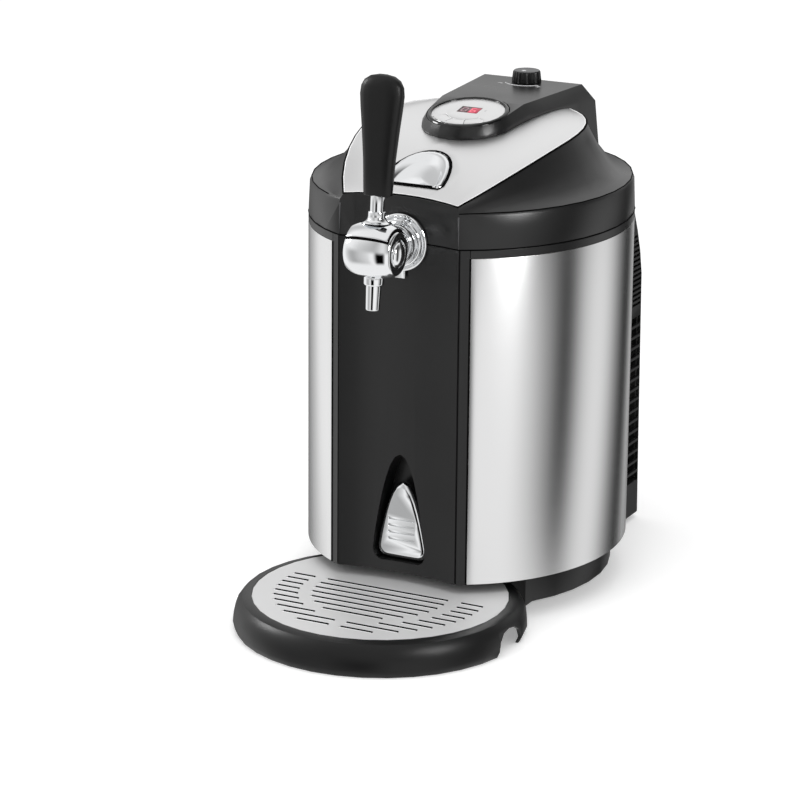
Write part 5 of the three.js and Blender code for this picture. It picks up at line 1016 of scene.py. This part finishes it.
def digit(dark, across, name, finish):
    bars = []
    first = segment()
    for key, (x, y, lies) in SEGMENT_PLACES.items():
        if key == dark:
            continue
        pick(first)
        bpy.ops.object.duplicate()
        bar = bpy.context.object
        place = Vector((across + x * DIGIT_WIDTH, WINDOW_MIDDLE + y * DIGIT_HEIGHT, WINDOW_TOP)) * MM
        bars.append(laid(bar, (0, 0, math.pi / 2 if lies else 0), place))
    pick(first)
    bpy.ops.object.delete()
    print(name, "segments:", len(bars))
    return hand_over(on_disc(joined(bars)), name, finish, body_of["display_window"], "window")


# %% [markdown]
# The window's right half is lit from behind and glows dark red round a bright digit. The left half is
# dark, and its digit is only a pale shape. Both glows are weak, so that they read as light and don't
# colour the disc.

# %% The display
LIT_SIZE = (8.9, 12, 0.3)
LIT_MIDDLE = 4.5
LIT_BELOW = 0.12
LEFT_DIGIT = -4.5
RIGHT_DIGIT = 3.7
red_glow = plain("red_glow", (0.3, 0.012, 0.035), 0.3, 0.000005)
pale_digit = plain("pale_digit", (0.3, 0.2, 0.22), 0.4)
glow(red_glow.node_tree.nodes["Principled BSDF"], (0.4, 0.008, 0.05), 0.45)
glow(pale_digit.node_tree.nodes["Principled BSDF"], (0.4, 0.2, 0.25), 0.35)
lit_half = on_disc(slab(LIT_SIZE, (LIT_MIDDLE, WINDOW_MIDDLE, WINDOW_TOP - LIT_BELOW), 0.08))
hand_over(lit_half, "lit_half", red_glow, body_of["display_window"], "window")
digit("middle", LEFT_DIGIT, "left_digit", pale_digit)
digit("upper_right", RIGHT_DIGIT, "right_digit", red_digits)

# %% [markdown]
# A fine ring runs round the disc above the buttons, and the window is followed by a degree sign and a C.
# The outer two buttons carry a minus and a plus. Ring and signs are wires bent from part of a circle, the
# bars are slabs.

# %% Marks on the disc and its buttons
RING_RADIUS = 19.3
RING_SPAN = (-37, 217)
RING_TOP = 0.3
DEGREE_PLACE = (12.4, 5.6)
CELSIUS_PLACE = (15.0, 4.4)
CELSIUS_SPAN = (50, 310)
MARK_REACH = 25.0
MARK_TURN = math.radians(35)
MARK_DEEP = 0.5
MARK_LIFT = 0.05
control_body = body_of["control_disc"]
ring = on_disc(arc(RING_RADIUS, *RING_SPAN))
wired(ring, "disc_ring", 0.14, print_and_highlight_grey, control_body, "silver_paint", lower=-RING_TOP)
degree = on_disc(laid(arc(0.55, 0, 360, 24), level, Vector((*DEGREE_PLACE, RING_TOP)) * MM))
wired(degree, "degree_mark", 0.16, print_and_highlight_grey, control_body, "silver_paint")
celsius = on_disc(laid(arc(1.3, *CELSIUS_SPAN, 36), level, Vector((*CELSIUS_PLACE, RING_TOP)) * MM))
wired(celsius, "celsius_mark", 0.24, print_and_highlight_grey, control_body, "silver_paint")

mark_x = MARK_REACH * math.sin(MARK_TURN)
mark_y = -MARK_REACH * math.cos(MARK_TURN)
minus = on_disc(slab((4.2, 0.9, MARK_DEEP), (-mark_x, mark_y, MARK_LIFT)))
hand_over(minus, "minus_mark", print_and_highlight_grey, body_of["button_down"], "silver_paint")
plus_sizes = ((4.2, 1.1, MARK_DEEP), (1.1, 4.2, MARK_DEEP))
plus = on_disc(joined([slab(size, (mark_x, mark_y, MARK_LIFT)) for size in plus_sizes]))
hand_over(plus, "plus_mark", print_and_highlight_grey, body_of["button_up"], "silver_paint")

# %% [markdown]
# A white line on the housing runs round the front of the pressure knob from a minus to a plus, to say
# which way the pressure rises. The knob has a flat grey face with a white dot that points to its setting
# and turns with it.

# %% The dial round the pressure knob
KNOB = (0, 155.5)
HOUSING_TOP = 419.5
DIAL_RADIUS = 19.3
DIAL_SPAN = (-142, -33)
SIGN_REACH = 24.2
SIGNS = {
    "dial_minus": (-138, ((4.4, 0.8, 0.4),)),
    "dial_plus": (-41, ((4.4, 0.9, 0.4), (0.9, 4.4, 0.4))),
}
lid_body = body_of["control_housing"]
dial = laid(arc(DIAL_RADIUS, *DIAL_SPAN), level, Vector((*KNOB, HOUSING_TOP)) * MM)
wired(dial, "dial_arc", 0.4, printed_white, lid_body, "white_plastic")
for name, (turn, sizes) in SIGNS.items():
    x = KNOB[0] + SIGN_REACH * math.cos(math.radians(turn))
    y = KNOB[1] + SIGN_REACH * math.sin(math.radians(turn))
    sign = joined([slab(size, (x, y, HOUSING_TOP)) for size in sizes])
    hand_over(sign, name, printed_white, lid_body, "white_plastic")

KNOB_TOP = 429.8
KNOB_FACE = 11.3
DOT_PLACE = (KNOB[0] - 0.8, KNOB[1] - 4.2, KNOB_TOP)
knob_body = body_of["pressure_knob"]
face = turned([(KNOB_FACE, -0.3), (KNOB_FACE, 0.1), (KNOB_FACE - 0.3, 0.25), (0.5, 0.25)])
laid(face, level, Vector((*KNOB, KNOB_TOP)) * MM)
knob_grey = plain("knob_grey", (0.075, 0.075, 0.078), 0.35)
hand_over(polished(face), "knob_face", knob_grey, knob_body, "black_plastic")
dot = turned([(1.9, 0), (1.9, 0.4), (1.6, 0.5), (0.3, 0.5)], sides=36)
laid(dot, level, Vector(DOT_PLACE) * MM)
hand_over(polished(dot), "knob_dot", printed_white, knob_body, "white_plastic")
print("marks laid on", control_body, lid_body, knob_body)

# %% [markdown]
# The steel sides would mirror the drip tray in dark wedges, which studio pictures of such goods have
# painted out. Hidden from reflections only, the tray and its grid leave the brushed steel clean.

# %% Keeping the tray out of the steel
for name in ("drip_tray_finish", "drip_grid_finish", "slot_highlights", "slot_shadows"):
    bpy.data.objects[name].visible_glossy = False
print("tray hidden from reflections")

# %% [markdown]
# ## Stage, lights and camera
# The dispenser stands on white paper. The paper's own light is seen by the camera alone: it lifts the lit
# paper to white and leaves the shadow in it. Reflections pass through the paper to the tent, so that it
# isn't mirrored twice.

# %% The floor
PAPER_HALF = 3.0
PAPER_TONE = 0.9
PAPER_LIFT = 0.3
drop_all()
bpy.ops.mesh.primitive_plane_add(size=2 * PAPER_HALF, location=(0, 0, 0))
paper = bpy.context.object
paper.name = "paper"
paper_finish, tree, paper_shader = new_finish("paper", (PAPER_TONE,) * 3, 0.9)
paper_shader.inputs["Specular IOR Level"].default_value = 0.0
paper_shader.inputs["Emission Color"].default_value = (1, 1, 1, 1)
ray = tree.nodes.new("ShaderNodeLightPath")
lift = tree.nodes.new("ShaderNodeMath")
lift.operation = "MULTIPLY"
lift.inputs[1].default_value = PAPER_LIFT
tree.links.new(ray.outputs["Is Camera Ray"], lift.inputs[0])
tree.links.new(lift.outputs["Value"], paper_shader.inputs["Emission Strength"])
clear = tree.nodes.new("ShaderNodeBsdfTransparent")
choose = tree.nodes.new("ShaderNodeMixShader")
tree.links.new(ray.outputs["Is Glossy Ray"], choose.inputs["Fac"])
tree.links.new(paper_shader.outputs["BSDF"], choose.inputs[1])
tree.links.new(clear.outputs["BSDF"], choose.inputs[2])
tree.links.new(choose.outputs["Shader"], tree.nodes["Material Output"].inputs["Surface"])
paper.data.materials.append(paper_finish)
print("paper:", 2 * PAPER_HALF, "m square")

# %% [markdown]
# Steel and chrome look like what they mirror, so the room has what a product studio has: a bright tent
# with tall soft boxes and dark flags around it. Each band is a list of compass angles, 0 at the front and
# 90 at the right, with the strength of light there. The low band is what the upright walls mirror, the
# high band is what the shoulders and the plate mirror.

# %% The tent's soft boxes and flags
LOW_BAND = [
    (-90, 1.1), (-70, 0.8), (-45, 0.45), (-24, 0.72), (-12, 0.9), (-3, 0.05), (20, 0.04), (27, 0.6),
    (34, 1.3), (49, 1.5), (64, 1.1), (86, 0.55), (95, 0.28), (103, 0.02), (110, 0.08), (120, 0.66),
    (137, 0.92), (150, 0.5), (161, 0.1), (174, 0.03), (186, 0.5), (199, 0.12), (214, 0.12),
    (230, 0.35), (243, 0.65), (255, 1.05), (269, 1.1),
]
HIGH_BAND = [
    (-90, 1.0), (-50, 0.9), (-15, 0.5), (20, 0.8), (48, 0.35), (70, 0.12), (100, 0.1), (128, 0.15),
    (150, 0.55), (175, 0.9), (200, 1.0), (215, 1.0), (235, 0.6), (269, 1.0),
]
BAND_START = -90.0
FULL_TURN = 360
print("stops in the bands:", len(LOW_BAND), len(HIGH_BAND))

# %% [markdown]
# The world turns the direction of a ray into light. A radial gradient is its compass, a colour ramp holds
# each band, and the height of the direction blends from the floor to the walls, from the low band to the
# high one, and to the white roof. Only reflections see these bands; the camera sees white, and matte
# surfaces get plain light.

# %% The tent
ZENITH = 0.9
FLOOR_GLOW = 0.95
PLAIN_LIGHT = 0.8
WHITE = 1.0
SHOULDER_HEIGHT = (-0.05, 0.3)
ROOF_HEIGHT = (0.75, 0.95)
FLOOR_HEIGHT = (-0.75, -0.5)

world = bpy.data.worlds.new("tent")
bpy.context.scene.world = world
world.use_nodes = True
tree = world.node_tree
background = tree.nodes["Background"]
direction = tree.nodes.new("ShaderNodeTexCoord")
compass = tree.nodes.new("ShaderNodeTexGradient")
compass.gradient_type = "RADIAL"
tree.links.new(direction.outputs["Generated"], compass.inputs["Vector"])
split = tree.nodes.new("ShaderNodeSeparateXYZ")
tree.links.new(direction.outputs["Generated"], split.inputs["Vector"])


def band(strengths):
    bands = tree.nodes.new("ShaderNodeValToRGB")
    bands.color_ramp.interpolation = "CARDINAL"
    points = bands.color_ramp.elements
    while len(points) > 1:
        points.remove(points[-1])
    for order, (angle, strength) in enumerate(strengths):
        place = (angle - BAND_START) / FULL_TURN
        stop = points[0] if order == 0 else points.new(place)
        stop.position = place
        stop.color = (strength, strength, strength, 1)
    tree.links.new(compass.outputs["Fac"], bands.inputs["Fac"])
    return bands.outputs["Color"]


def blend(factor, below, above):
    """Mixes two lights, each either a node's output or a plain strength."""
    mix = tree.nodes.new("ShaderNodeMix")
    mix.data_type = "RGBA"
    tree.links.new(factor, mix.inputs["Factor"])
    for place, light in ((COLOR_A, below), (COLOR_B, above)):
        if isinstance(light, float):
            mix.inputs[place].default_value = (light, light, light, 1)
        else:
            tree.links.new(light, mix.inputs[place])
    return mix.outputs[COLOR_RESULT]


def height_between(start, end):
    """Climbs smoothly from 0 to 1 between two heights of the direction's Z."""
    climb = tree.nodes.new("ShaderNodeMapRange")
    climb.interpolation_type = "SMOOTHSTEP"
    climb.inputs["From Min"].default_value = start
    climb.inputs["From Max"].default_value = end
    tree.links.new(split.outputs["Z"], climb.inputs["Value"])
    return climb.outputs["Result"]


walls = blend(height_between(*SHOULDER_HEIGHT), band(LOW_BAND), band(HIGH_BAND))
roofed = blend(height_between(*ROOF_HEIGHT), walls, ZENITH)
tent = blend(height_between(*FLOOR_HEIGHT), FLOOR_GLOW, roofed)
ray = tree.nodes.new("ShaderNodeLightPath")
lit = blend(ray.outputs["Is Glossy Ray"], PLAIN_LIGHT, tent)
seen = blend(ray.outputs["Is Camera Ray"], lit, WHITE)
tree.links.new(seen, background.inputs["Color"])
print("world nodes:", len(tree.nodes))

# %% [markdown]
# Two large lamps add soft shape and the shadow under the dispenser. They are kept out of reflections,
# because the tent already draws those. Two small ones do the opposite: only glossy surfaces see them, and
# they put the bright glints on the lid's band.

# %% Soft lamps and glints
BODY_MIDDLE = (0, 0.03, 0.25)
GLINT_SIZE = 0.7
GLINT_POWER = 20
GLINTS = {"left_glint": (-1.93, -0.34, 1.24), "right_glint": (1.86, -0.68, 1.15)}


def soft_lamp(name, place, size, power, glossy=False):
    drop_all()
    bpy.ops.object.light_add(type="AREA", location=place)
    lamp = bpy.context.object
    lamp.name = name
    lamp.data.shape = "DISK"
    lamp.data.size = size
    lamp.data.energy = power
    lamp.rotation_euler = (Vector(BODY_MIDDLE) - Vector(place)).to_track_quat("-Z", "Y").to_euler()
    lamp.visible_glossy = glossy
    lamp.visible_diffuse = not glossy
    return lamp


soft_lamp("overhead", (0.2, -0.3, 1.9), size=1.6, power=9)
soft_lamp("front_fill", (-0.9, -1.8, 1.1), size=1.2, power=5)
for name, place in GLINTS.items():
    soft_lamp(name, place, GLINT_SIZE, GLINT_POWER, glossy=True)

# %% [markdown]
# The camera stands where the photograph was taken from: its place, compass angle, dip and roll come from
# fitting the three known overall sizes to the picture. Its three axes are worked out from those angles
# and set as a matrix.

# %% The camera
CAMERA_PLACE = Vector((1.20753, -2.49902, 1.00506))
CAMERA_COMPASS = math.radians(26.61)
CAMERA_DIP = math.radians(16.81)
CAMERA_ROLL = math.radians(0.5)
FOCAL_LENGTH = 150.7
SENSOR = 36
FARTHEST = 50

ahead = Vector(
    (
        -math.sin(CAMERA_COMPASS) * math.cos(CAMERA_DIP),
        math.cos(CAMERA_COMPASS) * math.cos(CAMERA_DIP),
        -math.sin(CAMERA_DIP),
    )
)
across = Vector((math.cos(CAMERA_COMPASS), math.sin(CAMERA_COMPASS), 0))
upward = across.cross(ahead)
right = across * math.cos(CAMERA_ROLL) + upward * math.sin(CAMERA_ROLL)
top = upward * math.cos(CAMERA_ROLL) - across * math.sin(CAMERA_ROLL)
drop_all()
bpy.ops.object.camera_add(location=CAMERA_PLACE)
camera = bpy.context.object
camera.matrix_world = Matrix.Translation(CAMERA_PLACE) @ Matrix((right, top, -ahead)).transposed().to_4x4()
camera.data.lens = FOCAL_LENGTH
camera.data.sensor_width = SENSOR
camera.data.clip_end = FARTHEST
bpy.context.scene.camera = camera
bpy.context.scene.view_settings.view_transform = "Standard"
print("camera", round((CAMERA_PLACE - Vector(BODY_MIDDLE)).length, 2), "m from the dispenser's middle")
